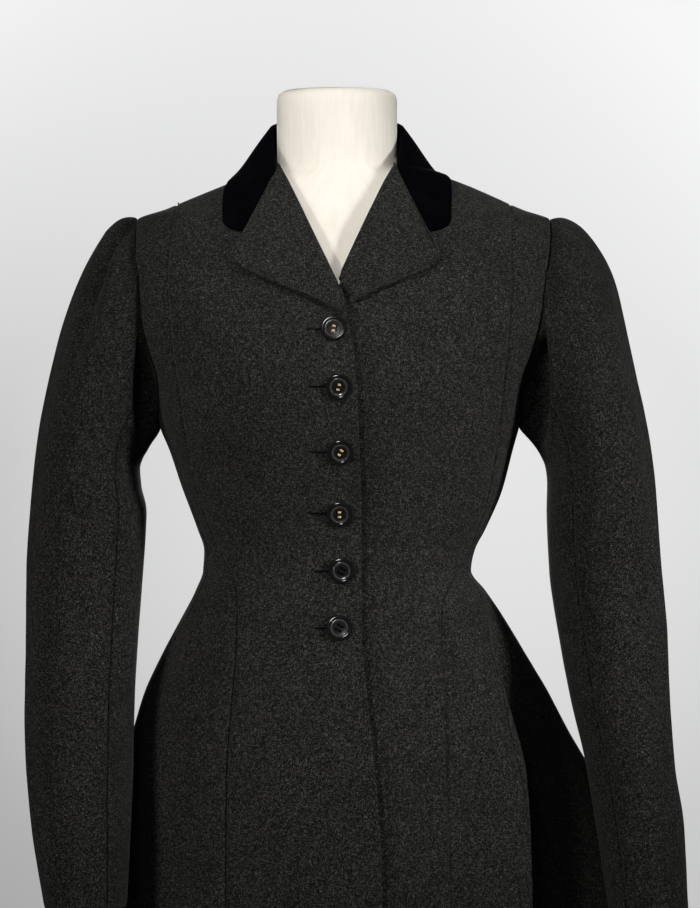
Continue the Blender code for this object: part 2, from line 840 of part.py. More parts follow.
def make_collar(material):
    """The collar's fall, lying on the shoulders, and the stand inside it."""
    table = indexed(whole_collar())
    last = len(whole_collar()) - 1
    inner = []
    for row in range(COLLAR_ROWS + 1):
        key = row / COLLAR_ROWS * last
        values = {column: curve(key) for column, curve in table.items()}
        roll = Vector((values["roll_x"], values["roll_y"], values["roll_z"]))
        edge = Vector((values["edge_x"], values["edge_y"], values["edge_z"]))
        points = []
        for step in range(COLLAR_ACROSS + 1):
            share = step / COLLAR_ACROSS
            point = mix(roll, edge, share)
            point.z += values["bulge"] * math.sin(math.pi * share)
            points.append(clear_of_body(point, COLLAR_LIFT))
        inner.append(points)
    normals = grid_normals(inner)
    outer = [
        [point - normal * COLLAR_CLOTH for point, normal in zip(*pair)]
        for pair in zip(inner, normals)
    ]
    wall_object("collar_fall", outer, inner, material, outward=False)

    outer = []
    inner = []
    for row in range(STAND_ROWS + 1):
        key = mix(STAND_FIRST_ROW, last - STAND_FIRST_ROW, row / STAND_ROWS)
        values = {column: curve(key) for column, curve in table.items()}
        level = Vector((values["roll_x"], values["roll_y"], 0.0))
        inward = -level.normalized()
        top = level + inward * STAND_SEAT
        top.z = values["roll_z"] - STAND_SEAT
        angle = angle_toward(level, NECK_HEIGHT)[0]
        back_share = max(0.0, abs(angle) - 90.0) / 90.0
        foot = body_point(angle, mix(NECK_HEIGHT, BACK_NECK_HEIGHT, back_share))
        foot += Vector((0.0, 0.0, STAND_SEAT))
        outer_row = [mix(foot, top, step / 2.0) for step in range(3)]
        outer.append(outer_row)
        inner.append([point + inward * STAND_CLOTH for point in outer_row])
    wall_object("collar_stand", outer, inner, material, outward=True)


def armhole_point(side, turn):
    """A point of the armhole's edge, just outside the body's cloth."""
    y, z = armhole_side(turn)
    point = body_point(armhole_angle(side, turn), z)
    return Vector((point.x + side_sign(side) * SLEEVE_GAP, y, z))


def sleeve_point(side, table, key, turn):
    """A point of the sleeve's outer surface: along it by key, round it by turn."""
    sign = side_sign(side)
    values = {column: curve(key) for column, curve in table.items()}
    outer = Vector((sign * values["outer_x"], values["middle_y"], values["outer_z"]))
    inner = Vector((sign * values["inner_x"], values["middle_y"], values["inner_z"]))
    middle = (outer + inner) / 2.0
    reach = (outer - inner) / 2.0
    swing = math.radians(turn)
    depth = values["half_depth"]
    gather = GATHER_HEIGHT * ease(key / 1.5) * (1.0 - ease((key - 2.0) / 3.5))
    gather *= ease((100.0 - abs(turn)) / 40.0)
    ripple = 1.0 + gather * math.cos(2.0 * math.pi * turn / GATHER_TURN) / depth
    point = middle + (reach * math.cos(swing) + Vector((0, -depth * math.sin(swing), 0))) * ripple
    blend = ease(key / 2.0)
    if blend >= 1.0:
        return point
    return mix(armhole_point(side, turn), point, blend)


def sleeve_inward(side, table, key, turn, last_key):
    """The direction from the sleeve's surface to its inside."""
    step = 0.05
    above = sleeve_point(side, table, max(key - step, 0.0), turn)
    below = sleeve_point(side, table, min(key + step, last_key), turn)
    ahead = sleeve_point(side, table, key, turn + 2.0)
    behind = sleeve_point(side, table, key, turn - 2.0)
    normal = (below - above).cross(ahead - behind).normalized()
    middle = sleeve_point(side, table, key, 90) + sleeve_point(side, table, key, -90)
    inward = middle / 2.0 - sleeve_point(side, table, key, turn)
    if normal.dot(inward) < 0:
        normal = -normal
    level = Vector((0.0, inward.y, inward.z)).normalized()
    return mix(level, normal, ease(key / 0.8)).normalized()


def make_sleeve(side, rows, material):
    """A two-piece sleeve, set into the armhole and open at the cuff."""
    table = indexed(rows)
    seam = SLEEVE_SEAM_STEPS
    top_turns = [SLEEVE_STEP * step for step in range(-seam, seam + 1)]
    floor_turns = [
        mix(ARM_CORNER_TURN, 360.0 - ARM_CORNER_TURN, step / UNDER_SLEEVE_STEPS)
        for step in range(UNDER_SLEEVE_STEPS + 1)
    ]
    under_turns = [seam * SLEEVE_STEP] + floor_turns + [360.0 - seam * SLEEVE_STEP]
    for name, turns in (("top_sleeve", top_turns), ("under_sleeve", under_turns)):
        outer = []
        inner = []
        for row in range(SLEEVE_ROWS + 1):
            key = (len(rows) - 1) * row / SLEEVE_ROWS
            outer_row = []
            inner_row = []
            for whole_turn in turns:
                turn = whole_turn - 360.0 if whole_turn > 180.0 else whole_turn
                point = sleeve_point(side, table, key, turn)
                outer_row.append(point)
                inner_row.append(point + sleeve_inward(side, table, key, turn, len(rows) - 1) * CLOTH)
            outer.append(outer_row)
            inner.append(inner_row)
        for grid in (outer, inner):
            draw_back(grid, True, True, False)
        wall_object(f"{name}_{side}", outer, inner, material, outward=side == "left")


def turned(name, profile, steps, material):
    """A round solid from a profile of radius and height, from the bottom up."""
    mesh = bmesh.new()
    rings = []
    for radius, height in profile:
        ring = []
        for step in range(steps):
            swing = 2.0 * math.pi * step / steps
            ring.append(mesh.verts.new(
                Vector((radius * math.cos(swing), radius * math.sin(swing), height)) * MM
            ))
        rings.append(ring)
    for low, high in zip(rings, rings[1:]):
        for step in range(steps):
            after = (step + 1) % steps
            mesh.faces.new((low[step], low[after], high[after], high[step]))
    mesh.faces.new(tuple(reversed(rings[0])))
    mesh.faces.new(tuple(rings[-1]))
    bmesh.ops.triangulate(mesh, faces=mesh.faces[:])
    return finish_object(name, mesh, material)


def make_buttons(material):
    """Six round buttons with a raised rim and a dished middle, on the right front."""
    radius = BUTTON_RADIUS
    height = BUTTON_HEIGHT
    profile = (
        (radius * 0.55, 0.0),
        (radius * 0.86, 0.5),
        (radius, height * 0.5),
        (radius * 0.97, height * 0.82),
        (radius * 0.86, height),
        (radius * 0.74, height * 0.9),
        (radius * 0.62, height * 0.66),
        (radius * 0.30, height * 0.60),
    )
    for number, place in enumerate(BUTTONS, start=1):
        angle = angle_at(place.x, place.z)
        normal = body_normal(angle, place.z)
        seat = body_point(angle, place.z) + normal * place.seat
        item = turned(f"button_{number}", profile, BUTTON_STEPS, material)
        item.rotation_mode = "QUATERNION"
        item.rotation_quaternion = normal.to_track_quat("Z", "Y")
        item.location = to_metres(seat)


def make_form(material):
    """The smooth dress form that fills the neck, shoulders, waist and hips."""
    table = columns(FORM)
    mesh = bmesh.new()
    rings = []
    for section in FORM:
        height = section.height
        ring = []
        for step in range(FORM_ACROSS):
            swing = 2.0 * math.pi * step / FORM_ACROSS
            across = math.sin(swing)
            ahead = math.cos(swing)
            power = 2.0 / table["roundness"](height)
            wide = table["left" if across > 0 else "right"](height)
            deep = table["front" if ahead >= 0 else "back"](height)
            x = math.copysign(wide * abs(across) ** power, across)
            y = -math.copysign(deep * abs(ahead) ** power, ahead)
            ring.append(mesh.verts.new(to_metres(Vector((x, y, height)))))
        rings.append(ring)
    for low, high in zip(rings, rings[1:]):
        for step in range(FORM_ACROSS):
            after = (step + 1) % FORM_ACROSS
            mesh.faces.new((low[step], low[after], high[after], high[step]))
    mesh.faces.new(tuple(reversed(rings[0])))
    mesh.faces.new(tuple(rings[-1]))
    bmesh.ops.triangulate(mesh, faces=mesh.faces[:])
    finish_object("form", mesh, material)


def make_stand(material):
    """A pole with a plate under the form, on a round base that rests on the floor."""
    edge = 4.0
    base = (
        (BASE_RADIUS - edge, 0.0),
        (BASE_RADIUS, edge),
        (BASE_RADIUS, BASE_HEIGHT - 10.0),
        (BASE_RADIUS - edge, BASE_HEIGHT - 6.0),
        (40.0, BASE_HEIGHT),
    )
    turned("base", base, ROUND_STEPS, material)
    foot = BASE_HEIGHT + STAND_GAP
    top = WAIST_HEIGHT + FORM[0].height - STAND_GAP
    pole = (
        (24.0, foot),
        (24.0, foot + 14.0),
        (POLE_RADIUS, foot + 20.0),
        (POLE_RADIUS, top - POLE_PLATE_HEIGHT - 8.0),
        (POLE_RADIUS + 6.0, top - POLE_PLATE_HEIGHT),
        (POLE_PLATE_RADIUS, top - POLE_PLATE_HEIGHT),
        (POLE_PLATE_RADIUS, top),
    )
    turned("pole", pole, 20, material)


def clear_scene():
    for item in list(bpy.data.objects):
        bpy.data.objects.remove(item, do_unlink=True)


def main():
    clear_scene()
    materials = {name: make_material(name) for name in FINISHES}
    make_body(materials["wool"])
    make_lapel("lapel_right", RIGHT_LAPEL, False, materials["wool"])
    make_lapel("lapel_left", LEFT_LAPEL, True, materials["wool"])
    make_collar(materials["velvet"])
    make_sleeve("right", RIGHT_SLEEVE, materials["wool"])
    make_sleeve("left", LEFT_SLEEVE, materials["wool"])
    make_buttons(materials["button"])
    make_form(materials["form_cloth"])
    make_stand(materials["stand_metal"])


main()
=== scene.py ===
import math

import bmesh
import bpy
from mathutils import Matrix, Vector, noise


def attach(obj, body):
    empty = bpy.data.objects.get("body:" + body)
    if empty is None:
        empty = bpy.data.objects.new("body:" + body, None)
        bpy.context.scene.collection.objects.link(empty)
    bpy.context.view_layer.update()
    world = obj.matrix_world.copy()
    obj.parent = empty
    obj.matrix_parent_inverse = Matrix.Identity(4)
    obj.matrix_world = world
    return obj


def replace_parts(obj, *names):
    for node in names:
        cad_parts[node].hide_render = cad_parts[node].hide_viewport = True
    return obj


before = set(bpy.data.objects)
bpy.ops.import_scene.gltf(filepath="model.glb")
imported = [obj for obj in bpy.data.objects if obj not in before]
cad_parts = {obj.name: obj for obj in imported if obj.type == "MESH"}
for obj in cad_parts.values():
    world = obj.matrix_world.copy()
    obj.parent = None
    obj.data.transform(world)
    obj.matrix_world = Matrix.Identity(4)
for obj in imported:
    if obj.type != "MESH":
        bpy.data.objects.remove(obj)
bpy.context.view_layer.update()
print("frame loaded")

# Tables are in millimetres, with heights counted from the waist. Meshes are in metres.
# The front faces -Y, the wearer's right is at -X. Angles run round from the centre front.
waistHeight = 960.0
seamGap = -0.06  # the fine cloth overlaps a little, so that no light shows through a seam
clothThickness = 2.0


def smoothCurve(keys, values):  # monotone cubic through the rows of a table
    steps = []
    for index in range(len(keys) - 1):
        steps.append((values[index + 1] - values[index]) / (keys[index + 1] - keys[index]))
    slopes = [steps[0]]
    for before, after in zip(steps, steps[1:]):
        slopes.append(0.0 if before * after <= 0 else 2 * before * after / (before + after))
    slopes.append(steps[-1])

    def value(key):
        key = min(max(key, keys[0]), keys[-1])
        index = 0
        while index < len(keys) - 2 and key > keys[index + 1]:
            index += 1
        span = keys[index + 1] - keys[index]
        t = (key - keys[index]) / span
        return (
            values[index] * (1 + 2 * t) * (1 - t) ** 2
            + span * slopes[index] * t * (1 - t) ** 2
            + values[index + 1] * t * t * (3 - 2 * t)
            + span * slopes[index + 1] * t * t * (t - 1)
        )

    return value


def sampledCurve(keys, values, spacing=0.5):  # the same curve, read from close samples
    exact = smoothCurve(keys, values)
    count = max(2, int((keys[-1] - keys[0]) / spacing))
    step = (keys[-1] - keys[0]) / count
    samples = [exact(keys[0] + step * index) for index in range(count + 1)]

    def value(key):
        place = min(max((key - keys[0]) / step, 0.0), count - 1e-6)
        index = int(place)
        return samples[index] + (samples[index + 1] - samples[index]) * (place - index)

    return value


def tableCurves(table, key="height"):
    return {name: sampledCurve(table[key], values) for name, values in table.items() if name != key}


def mix(start, end, share):
    return start + (end - start) * share


def ease(share):
    share = min(max(share, 0.0), 1.0)
    return share * share * (3 - 2 * share)


def sideName(x):
    return "left" if x > 0 else "right"


def signOf(side):
    return 1.0 if side == "left" else -1.0


def unevenness(point, size, seed):  # smooth noise from -1 to 1 over a length in mm
    return noise.noise(Vector((point.x / size + seed, point.y / size, point.z / size)))


def toMetres(point):
    return Vector((point.x, point.y, point.z + waistHeight)) * 0.001


# The body's level sections: half widths to each side and half depths to front and back.
bodyTable = {
    "height": [-335, -285, -235, -185, -143, -107, -71, -36, -18, 0, 18, 36, 71, 107, 130, 152,
               171, 192, 232, 272, 293, 307, 312, 320, 329, 344, 352, 360, 366],
    "right": [228, 219, 208, 195, 182, 171, 154, 135, 126, 119.5, 118.5, 124, 137, 149, 158, 163,
              169, 180, 194, 196, 189, 181, 177, 153, 131, 95, 77, 61, 56],
    "left": [280, 268, 249, 228, 205, 187, 166, 145, 132, 119.5, 123, 132, 147, 156.5, 163, 168,
             175, 187, 203, 207, 201, 193, 189, 166, 145, 111, 90, 63, 57],
    "front": [148, 142, 135, 127, 119, 110, 101, 93, 89, 86, 86, 89, 99, 111, 118, 124,
              126, 125, 116, 101, 91, 82, 78, 73, 68, 61, 58, 55, 52],
    "back": [176, 166, 153, 140, 128, 115, 104, 93, 88, 84, 84, 86, 91, 96, 99, 102,
             104, 105, 104, 100, 95, 90, 88, 84, 80, 71, 67, 64, 61],
    "roundness": [2.0, 2.0, 2.0, 2.02, 2.05, 2.1, 2.15, 2.2, 2.2, 2.2, 2.2, 2.25, 2.25, 2.3, 2.3,
                  2.3, 2.3, 2.3, 2.3, 2.3, 2.3, 2.3, 2.3, 2.3, 2.3, 2.3, 2.3, 2.3, 2.3],
}
body = tableCurves(bodyTable)

# Soft folds of the jacket skirt, growing from the waist to the hem.
skirtFolds = {
    "angle": [37, 88, -74, -52, -100, 118, -125, 142, -152, 166],
    "spread": [8, 12, 9, 14, 10, 12, 12, 12, 9, 8],
    "height": [7, 5, 4, -4, -5, -5, 5, 6, -5, -5],
}
foldTop = -30.0
foldLength = 305.0  # from there to the hem, where the folds are full

# The deep hollow of the left side, behind the front ridge: its angle and depth at each height.
sideHollowTable = {
    "height": [-335, -285, -200, -150, -107, -71, -40, -20, 20],
    "angle": [46, 48.5, 56, 60.5, 62, 64, 70, 77, 84],
    "depth": [54, 52, 46, 33, 24, 13, 5, 0, 0],
}
sideHollow = tableCurves(sideHollowTable)
hollowForward = 6.5
hollowBackward = 14.0
neckHeight = 360.0
backNeckHeight = 352.0


def foldRelief(angle, height):
    if height >= sideHollowTable["height"][-1]:
        return 0.0
    total = 0.0
    for place, spread, size in zip(*skirtFolds.values()):
        apart = abs(angle - place)
        apart = min(apart, 360.0 - apart) / spread
        if apart < 3.0:
            total += size * math.exp(-apart * apart)
    total *= ease((foldTop - height) / foldLength)
    depth = sideHollow["depth"](height)
    if depth > 0:
        apart = angle - sideHollow["angle"](height)
        spread = hollowForward if apart < 0 else hollowBackward
        total -= depth * math.exp(-((apart / spread) ** 2))
    return total


def bodyPoint(angle, height):
    across = math.sin(math.radians(angle))
    ahead = math.cos(math.radians(angle))
    power = 2.0 / body["roundness"](height)
    wide = body[sideName(angle)](height)
    deep = body["front" if ahead >= 0 else "back"](height)
    x = math.copysign(wide * abs(across) ** power, across)
    y = -math.copysign(deep * abs(ahead) ** power, ahead)
    stretch = 1.0 + foldRelief(angle, height) / math.hypot(x, y)
    return Vector((x * stretch, y * stretch, height))


probe = {"angle": 0.6, "height": 1.2}  # steps to the points that give a normal


def bodyNormal(angle, height):
    turn, rise = probe["angle"], probe["height"]
    across = bodyPoint(angle + turn, height) - bodyPoint(angle - turn, height)
    upward = bodyPoint(angle, height + rise) - bodyPoint(angle, height - rise)
    return across.cross(upward).normalized()


def angleAt(x, height):
    share = min(1.0, abs(x) / body[sideName(x)](height)) ** (body["roundness"](height) / 2)
    return math.copysign(math.degrees(math.asin(min(1.0, share))), x)


def angleToward(point, height):
    power = body["roundness"](height)
    across = (abs(point.x) / body[sideName(point.x)](height)) ** (power / 2)
    ahead = (abs(point.y) / body["front" if point.y <= 0 else "back"](height)) ** (power / 2)
    angle = math.atan2(math.copysign(across, point.x), math.copysign(ahead, -point.y))
    return math.degrees(angle), (across * across + ahead * ahead) ** (1 / power)


def onFront(x, z, lift):
    angle = angleAt(x, z)
    return bodyPoint(angle, z) + bodyNormal(angle, z) * lift


# Seams of the body. Rows run up each panel: to the armhole's corner, then to the shoulder.
seamTables = {
    "princess": {
        "height": [-335, -285, -170, -110, -60, -30, -12, 7, 30, 63, 100, 141, 191, 263, 330],
        "right": [96, 95, 94.5, 90.5, 87, 86.5, 88, 97, 109, 121, 129, 135, 142, 147, 141],
        "left": [98, 97, 95, 94, 91, 92, 99, 111, 122, 132, 139, 144, 149, 153, 154],
    },
    "frontSide": {
        "height": [-335, -185, -112, -63, -10, 60, 135],
        "right": [70, 73, 75, 74, 74, 75, 75],
        "left": [37, 45, 50, 56, 72, 75, 75],
    },
    "backSide": {
        "height": [-335, -200, -136, -60, 0, 60, 135],
        "right": [104, 104, 104, 105, 106, 108, 108],
        "left": [57, 62, 64, 78, 96, 107, 108],
    },
    "back": {
        "height": [-335, -150, 0, 60, 110, 150],
        "right": [143, 148, 158, 155, 149, 142],
        "left": [143, 148, 158, 155, 149, 142],
    },
    "frontEdge": {
        "height": [-335, -285, -228, -179, -139, -90, -55, 0, 50, 102, 155, 190, 216, 229, 250,
                   300, 344, 358],
        "right": [40, 39.5, 38, 34, 30, 25, 22, 21.5, 21.5, 20, 18, 15, 10.5, 6, -3,
                  -26.5, -47.5, -56],
        "left": [-6, -6, -7, -9, -12, -16, -19, -21, -22, -22, -22, -22, -20, -13, 2,
                 25.5, 46, 55],
    },
}
seams = {name: tableCurves(table) for name, table in seamTables.items()}
rowHeights = [-335, -288, -240, -192, -148, -108, -72, -44, -22, -4, 14, 34, 58, 83, 108]
rowPlan = {"lower": 14, "corner": 16, "backEnd": 20, "neckTurn": 22, "top": 25}
armhole = {"middle": 219.0, "rise": 93.0, "depth": 63.0, "cornerTurn": 142.0}
cornerHeight = armhole["middle"] + armhole["rise"] * math.cos(math.radians(armhole["cornerTurn"]))
shoulderSeam = {"right": 141.0, "left": 154.0}
shoulderLow = 311.0  # the shoulder line is looked for above this height


def ridgeHeight(side, x):  # height of the shoulder line at a distance from the centre
    low, high = shoulderLow, neckHeight
    for _ in range(30):
        middle = (low + high) / 2
        low, high = (middle, high) if body[side](middle) > x else (low, middle)
    return (low + high) / 2


shoulderHeights = {side: ridgeHeight(side, x) for side, x in shoulderSeam.items()}


def rowHeight(row):
    lower = rowPlan["lower"]
    if row <= lower:
        index = min(int(row), lower - 1)
        return mix(rowHeights[index], rowHeights[index + 1], row - index)
    return mix(rowHeights[lower], cornerHeight, (row - lower) / (rowPlan["corner"] - lower))


def armTurn(row):
    return armhole["cornerTurn"] * (rowPlan["top"] - row) / (rowPlan["top"] - rowPlan["corner"])


def rowRise(row):  # share of the way from the armhole's corner to the shoulder
    corner = math.cos(math.radians(armhole["cornerTurn"]))
    return (math.cos(math.radians(armTurn(row))) - corner) / (1 - corner)


def armholeSide(turn):
    swing = math.radians(turn)
    return -armhole["depth"] * math.sin(swing), armhole["middle"] + armhole["rise"] * math.cos(swing)


def armholeAngle(side, turn):
    y, z = armholeSide(turn)
    deep = body["front" if y <= 0 else "back"](z)
    angle = math.degrees(math.acos(min(1.0, (abs(y) / deep) ** (body["roundness"](z) / 2))))
    return signOf(side) * (angle if y <= 0 else 180 - angle)


def frontEdgeLine(side, row):
    height = rowHeight(row) if row <= rowPlan["corner"] else mix(cornerHeight, neckHeight, rowRise(row))
    if row >= rowPlan["top"]:
        return signOf(side) * 90.0, neckHeight
    return angleAt(seams["frontEdge"][side](height), height), height


def princessLine(side, row):
    height = rowHeight(row)
    if row > rowPlan["corner"]:
        height = mix(cornerHeight, shoulderHeights[side], rowRise(row))
    if row >= rowPlan["top"]:
        return signOf(side) * 90.0, height
    return angleAt(signOf(side) * seams["princess"][side](height), height), height


def sideLine(seam, side, row, front):
    sense = 1 if front else -1
    if row > rowPlan["corner"]:
        turn = sense * armTurn(row)
        return armholeAngle(side, turn), armholeSide(turn)[1]
    angle = signOf(side) * seam[side](rowHeight(row))
    over = (row - rowPlan["lower"]) / (rowPlan["corner"] - rowPlan["lower"])
    if over > 0:
        angle = mix(angle, armholeAngle(side, sense * armhole["cornerTurn"]), over)
    return angle, rowHeight(row)


def frontSideLine(side, row):
    return sideLine(seams["frontSide"], side, row, True)


def backSideLine(side, row):
    return sideLine(seams["backSide"], side, row, False)


backTop = {"power": 1.2, "apart": 1.4}  # how the back seam nears the armhole


def backLine(side, row):
    corner, end = rowPlan["corner"], rowPlan["backEnd"]
    if row <= corner:
        return signOf(side) * seams["back"][side](rowHeight(row)), rowHeight(row)
    armAngle, armHeight = backSideLine(side, row)
    if row > end:
        return armAngle, armHeight
    share = ((row - corner) / (end - corner)) ** backTop["power"]
    start = seams["back"][side](cornerHeight)
    return signOf(side) * mix(start, abs(armAngle) + backTop["apart"], share), armHeight


def centreBackLine(side, row):
    corner, turn, top = rowPlan["corner"], rowPlan["neckTurn"], rowPlan["top"]
    if row <= corner:
        return signOf(side) * 180.0, rowHeight(row)
    if row <= turn:
        return signOf(side) * 180.0, mix(cornerHeight, backNeckHeight, rowRise(row) / rowRise(turn))
    share = (row - turn) / (top - turn)
    return signOf(side) * mix(180.0, 90.0, share), mix(backNeckHeight, neckHeight, share)


def armholeFloor(angle):
    height = cornerHeight
    for _ in range(4):
        share = min(1.0, abs(bodyPoint(angle, height).y) / armhole["depth"])
        height = armhole["middle"] - armhole["rise"] * math.sqrt(1 - share * share)
    return height


lapStep = {"depth": 4.2, "start": 3.5, "end": 15.0, "fadeHeight": 263.0, "fade": 45.0}


def lapDepth(angle, height):  # how far the left front steps in under the right front
    edge = max(seams["frontEdge"]["right"](height), seams["frontEdge"]["left"](height))
    x = bodyPoint(angle, height).x
    full = 1 - ease((x - edge - lapStep["start"]) / (lapStep["end"] - lapStep["start"]))
    return lapStep["depth"] * full * (1 - ease((height - lapStep["fadeHeight"]) / lapStep["fade"]))


# Materials: procedural, on the object's own places or on the cloth's UV.
def setSocket(tree, socket, value):
    if isinstance(value, bpy.types.NodeSocket):
        tree.links.new(value, socket)
    else:
        socket.default_value = value


def addNode(tree, kind, settings=None, inputs=None):
    node = tree.nodes.new(kind)
    for key, value in (settings or {}).items():
        setattr(node, key, value)
    for key, value in (inputs or {}).items():
        setSocket(tree, node.inputs[key], value)
    return node


def newMaterial(name, colour, roughness, **settings):
    material = bpy.data.materials.new(name)
    material.use_nodes = True
    material.diffuse_color = (*colour, 1.0)
    tree = material.node_tree
    shader = tree.nodes["Principled BSDF"]
    settings.update({"Base Color": (*colour, 1.0), "Roughness": roughness})
    for key, value in settings.items():
        shader.inputs[key].default_value = value
    return material, tree, shader


def placesOf(tree, kind):  # Object places keep their size on every piece, UV follows the cloth
    return addNode(tree, "ShaderNodeTexCoord").outputs[kind]


def mapped(tree, coordinates, scale, turn=(0, 0, 0)):
    return addNode(tree, "ShaderNodeMapping", inputs={
        "Vector": coordinates, "Scale": scale, "Rotation": turn}).outputs["Vector"]


def noiseOf(tree, coordinates, scale, detail, roughness, stretch=None):
    if stretch:
        coordinates = mapped(tree, coordinates, stretch)
    return addNode(tree, "ShaderNodeTexNoise", inputs={
        "Vector": coordinates, "Scale": scale, "Detail": detail, "Roughness": roughness}).outputs["Fac"]


def rampOf(tree, factor, stops):  # a stop's shade is a grey number or a colour
    node = addNode(tree, "ShaderNodeValToRGB", inputs={"Fac": factor})
    ramp = node.color_ramp
    while len(ramp.elements) < len(stops):
        ramp.elements.new(0.5)
    for element, (place, shade) in zip(ramp.elements, stops):
        element.position = place
        element.color = (*((shade,) * 3 if isinstance(shade, float) else shade), 1.0)
    return node.outputs["Color"]


def blended(tree, factor, first, second, kind="MIX"):
    return addNode(tree, "ShaderNodeMix", {"data_type": "RGBA", "blend_type": kind},
                   {0: factor, 6: first, 7: second}).outputs[2]


def combine(tree, operation, first, second):
    return addNode(tree, "ShaderNodeMath", {"operation": operation}, {0: first, 1: second}).outputs[0]


def bumped(tree, shader, height, strength, distance, under=None):
    inputs = {"Height": height, "Strength": strength, "Distance": distance}
    if under:
        inputs["Normal"] = under
    normal = addNode(tree, "ShaderNodeBump", inputs=inputs).outputs["Normal"]
    tree.links.new(normal, shader.inputs["Normal"])
    return normal


def shaded(tree, shader, factor, stops, socket="Base Color"):
    tree.links.new(rampOf(tree, factor, stops), shader.inputs[socket])


def scaled(colour, share):
    return tuple(min(1.0, part * share) for part in colour)


woolLook = {
    "dark": (0.0030, 0.0033, 0.0034), "middle": (0.0116, 0.0119, 0.0113),
    "light": (0.0625, 0.059, 0.0517), "fleck": (0.118, 0.108, 0.092),
    "sheen": 0.05, "sheenTint": (0.85, 0.85, 0.80, 1.0), "shine": 0.12, "sleevePaintedShade": 0.86,
    "fineScale": 1050.0, "yarnScale": 900.0, "yarnStretch": 0.35, "fleckScale": 640.0,
    "patchScale": 26.0, "barScale": 420.0, "barStretch": 0.02, "weaveScale": 330.0, "weaveTurn": -35.0,
}


def makeWool(name, shade=1.0):  # dark worsted with pale flecks, woven in fine slanting lines; a shade below 1 darkens the whole tone as painted shade
    look = woolLook
    material, tree, shader = newMaterial(name, look["middle"], 0.95, **{
        "Sheen Weight": look["sheen"], "Sheen Roughness": 0.5, "Sheen Tint": look["sheenTint"],
        "Specular IOR Level": look["shine"]})
    solid, cloth = placesOf(tree, "Object"), placesOf(tree, "UV")
    fine = noiseOf(tree, solid, look["fineScale"], 1.0, 0.6)
    long = look["yarnStretch"]
    yarns = combine(tree, "ADD", noiseOf(tree, solid, look["yarnScale"], 1.0, 0.5, (1.0, 1.0, long)),
                    noiseOf(tree, solid, look["yarnScale"], 1.0, 0.5, (long, long, 1.0)))
    both = combine(tree, "ADD", fine, combine(tree, "MULTIPLY", yarns, 0.5))
    tone = rampOf(tree, combine(tree, "MULTIPLY", both, 0.5), [
        (0.40, look["dark"]), (0.50, look["middle"]), (0.63, look["light"])])
    flecks = noiseOf(tree, solid, look["fleckScale"], 2.0, 0.7, (1.0, 1.0, 0.7))
    tone = blended(tree, rampOf(tree, flecks, [(0.64, 0.0), (0.72, 1.0)]), tone, (*look["fleck"], 1.0))
    patches = noiseOf(tree, solid, look["patchScale"], 4.0, 0.6)
    bars = noiseOf(tree, cloth, look["barScale"], 2.0, 0.5, (look["barStretch"], 1.0, 1.0))
    # the patches are scaled by shade: below 1 this is painted shade, not a different cloth
    for factor, low, high in ((patches, 0.90 * shade, 1.08 * shade), (bars, 0.92, 1.07)):
        tone = blended(tree, 1.0, tone, rampOf(tree, factor, [(0.3, low), (0.7, high)]), "MULTIPLY")
    tree.links.new(tone, shader.inputs["Base Color"])
    weave = addNode(tree, "ShaderNodeTexWave", {"wave_type": "BANDS"}, {
        "Vector": mapped(tree, cloth, (1, 1, 1), (0, 0, math.radians(look["weaveTurn"]))),
        "Scale": look["weaveScale"], "Distortion": 1.2, "Detail": 1.0, "Detail Scale": 2.0}).outputs["Fac"]
    bumped(tree, shader, fine, 0.35, 0.0003, bumped(tree, shader, weave, 0.22, 0.0002))
    return material


velvetLook = {
    "dark": (0.0006, 0.0006, 0.0010), "middle": (0.0010, 0.0010, 0.0017),
    "light": (0.0019, 0.0019, 0.0030), "sheen": 0.015, "sheenTint": (0.42, 0.42, 0.55, 1.0),
    "shine": 0.05, "napScale": 60.0, "pileScale": 2200.0,
}


def makeVelvet():
    look = velvetLook
    material, tree, shader = newMaterial("collarVelvet", look["middle"], 1.0, **{
        "Sheen Weight": look["sheen"], "Sheen Roughness": 0.25, "Sheen Tint": look["sheenTint"],
        "Specular IOR Level": look["shine"]})
    cloth = placesOf(tree, "UV")
    nap = noiseOf(tree, cloth, look["napScale"], 3.0, 0.6, (1, 0.6, 1))
    shaded(tree, shader, nap, [(0.35, look["dark"]), (0.72, look["light"])])
    bumped(tree, shader, noiseOf(tree, cloth, look["pileScale"], 1.0, 0.5), 0.5, 0.0004)
    return material


def makeLining(name, colour):
    material, tree, shader = newMaterial(name, colour, 0.42, **{"Sheen Weight": 0.25})
    threads = noiseOf(tree, placesOf(tree, "UV"), 900.0, 1.0, 0.5, (1, 0.12, 1))
    shaded(tree, shader, threads, [(0.3, scaled(colour, 0.75)), (0.7, scaled(colour, 1.3))])
    bumped(tree, shader, threads, 0.2, 0.0002)
    return material


formLook = {
    "dark": (0.83, 0.765, 0.67), "middle": (0.83, 0.79, 0.72), "light": (0.90, 0.855, 0.775),
    "wash": (0.95, 0.945, 0.93), "threadScale": 520.0, "slubScale": 260.0, "washScale": 9.0,
}


def makeFormCloth():
    look = formLook
    material, tree, shader = newMaterial("formCloth", look["middle"], 0.86, **{
        "Sheen Weight": 0.12, "Specular IOR Level": 0.25})
    cloth = placesOf(tree, "UV")
    threads = {"Vector": cloth, "Scale": look["threadScale"], "Distortion": 0.6}
    warp, weft = (addNode(tree, "ShaderNodeTexWave", {"bands_direction": direction}, threads).outputs["Fac"]
                  for direction in "XY")
    slubs = noiseOf(tree, cloth, look["slubScale"], 3.0, 0.6, (1, 0.1, 1))
    tone = rampOf(tree, slubs, [(0.25, look["dark"]), (0.75, look["light"])])
    stains = noiseOf(tree, cloth, look["washScale"], 3.0, 0.5)
    wash = rampOf(tree, stains, [(0.3, look["wash"]), (0.7, 1.0)])
    tree.links.new(blended(tree, 1.0, tone, wash, "MULTIPLY"), shader.inputs["Base Color"])
    bumped(tree, shader, combine(tree, "ADD", warp, weft), 0.15, 0.0002)
    return material


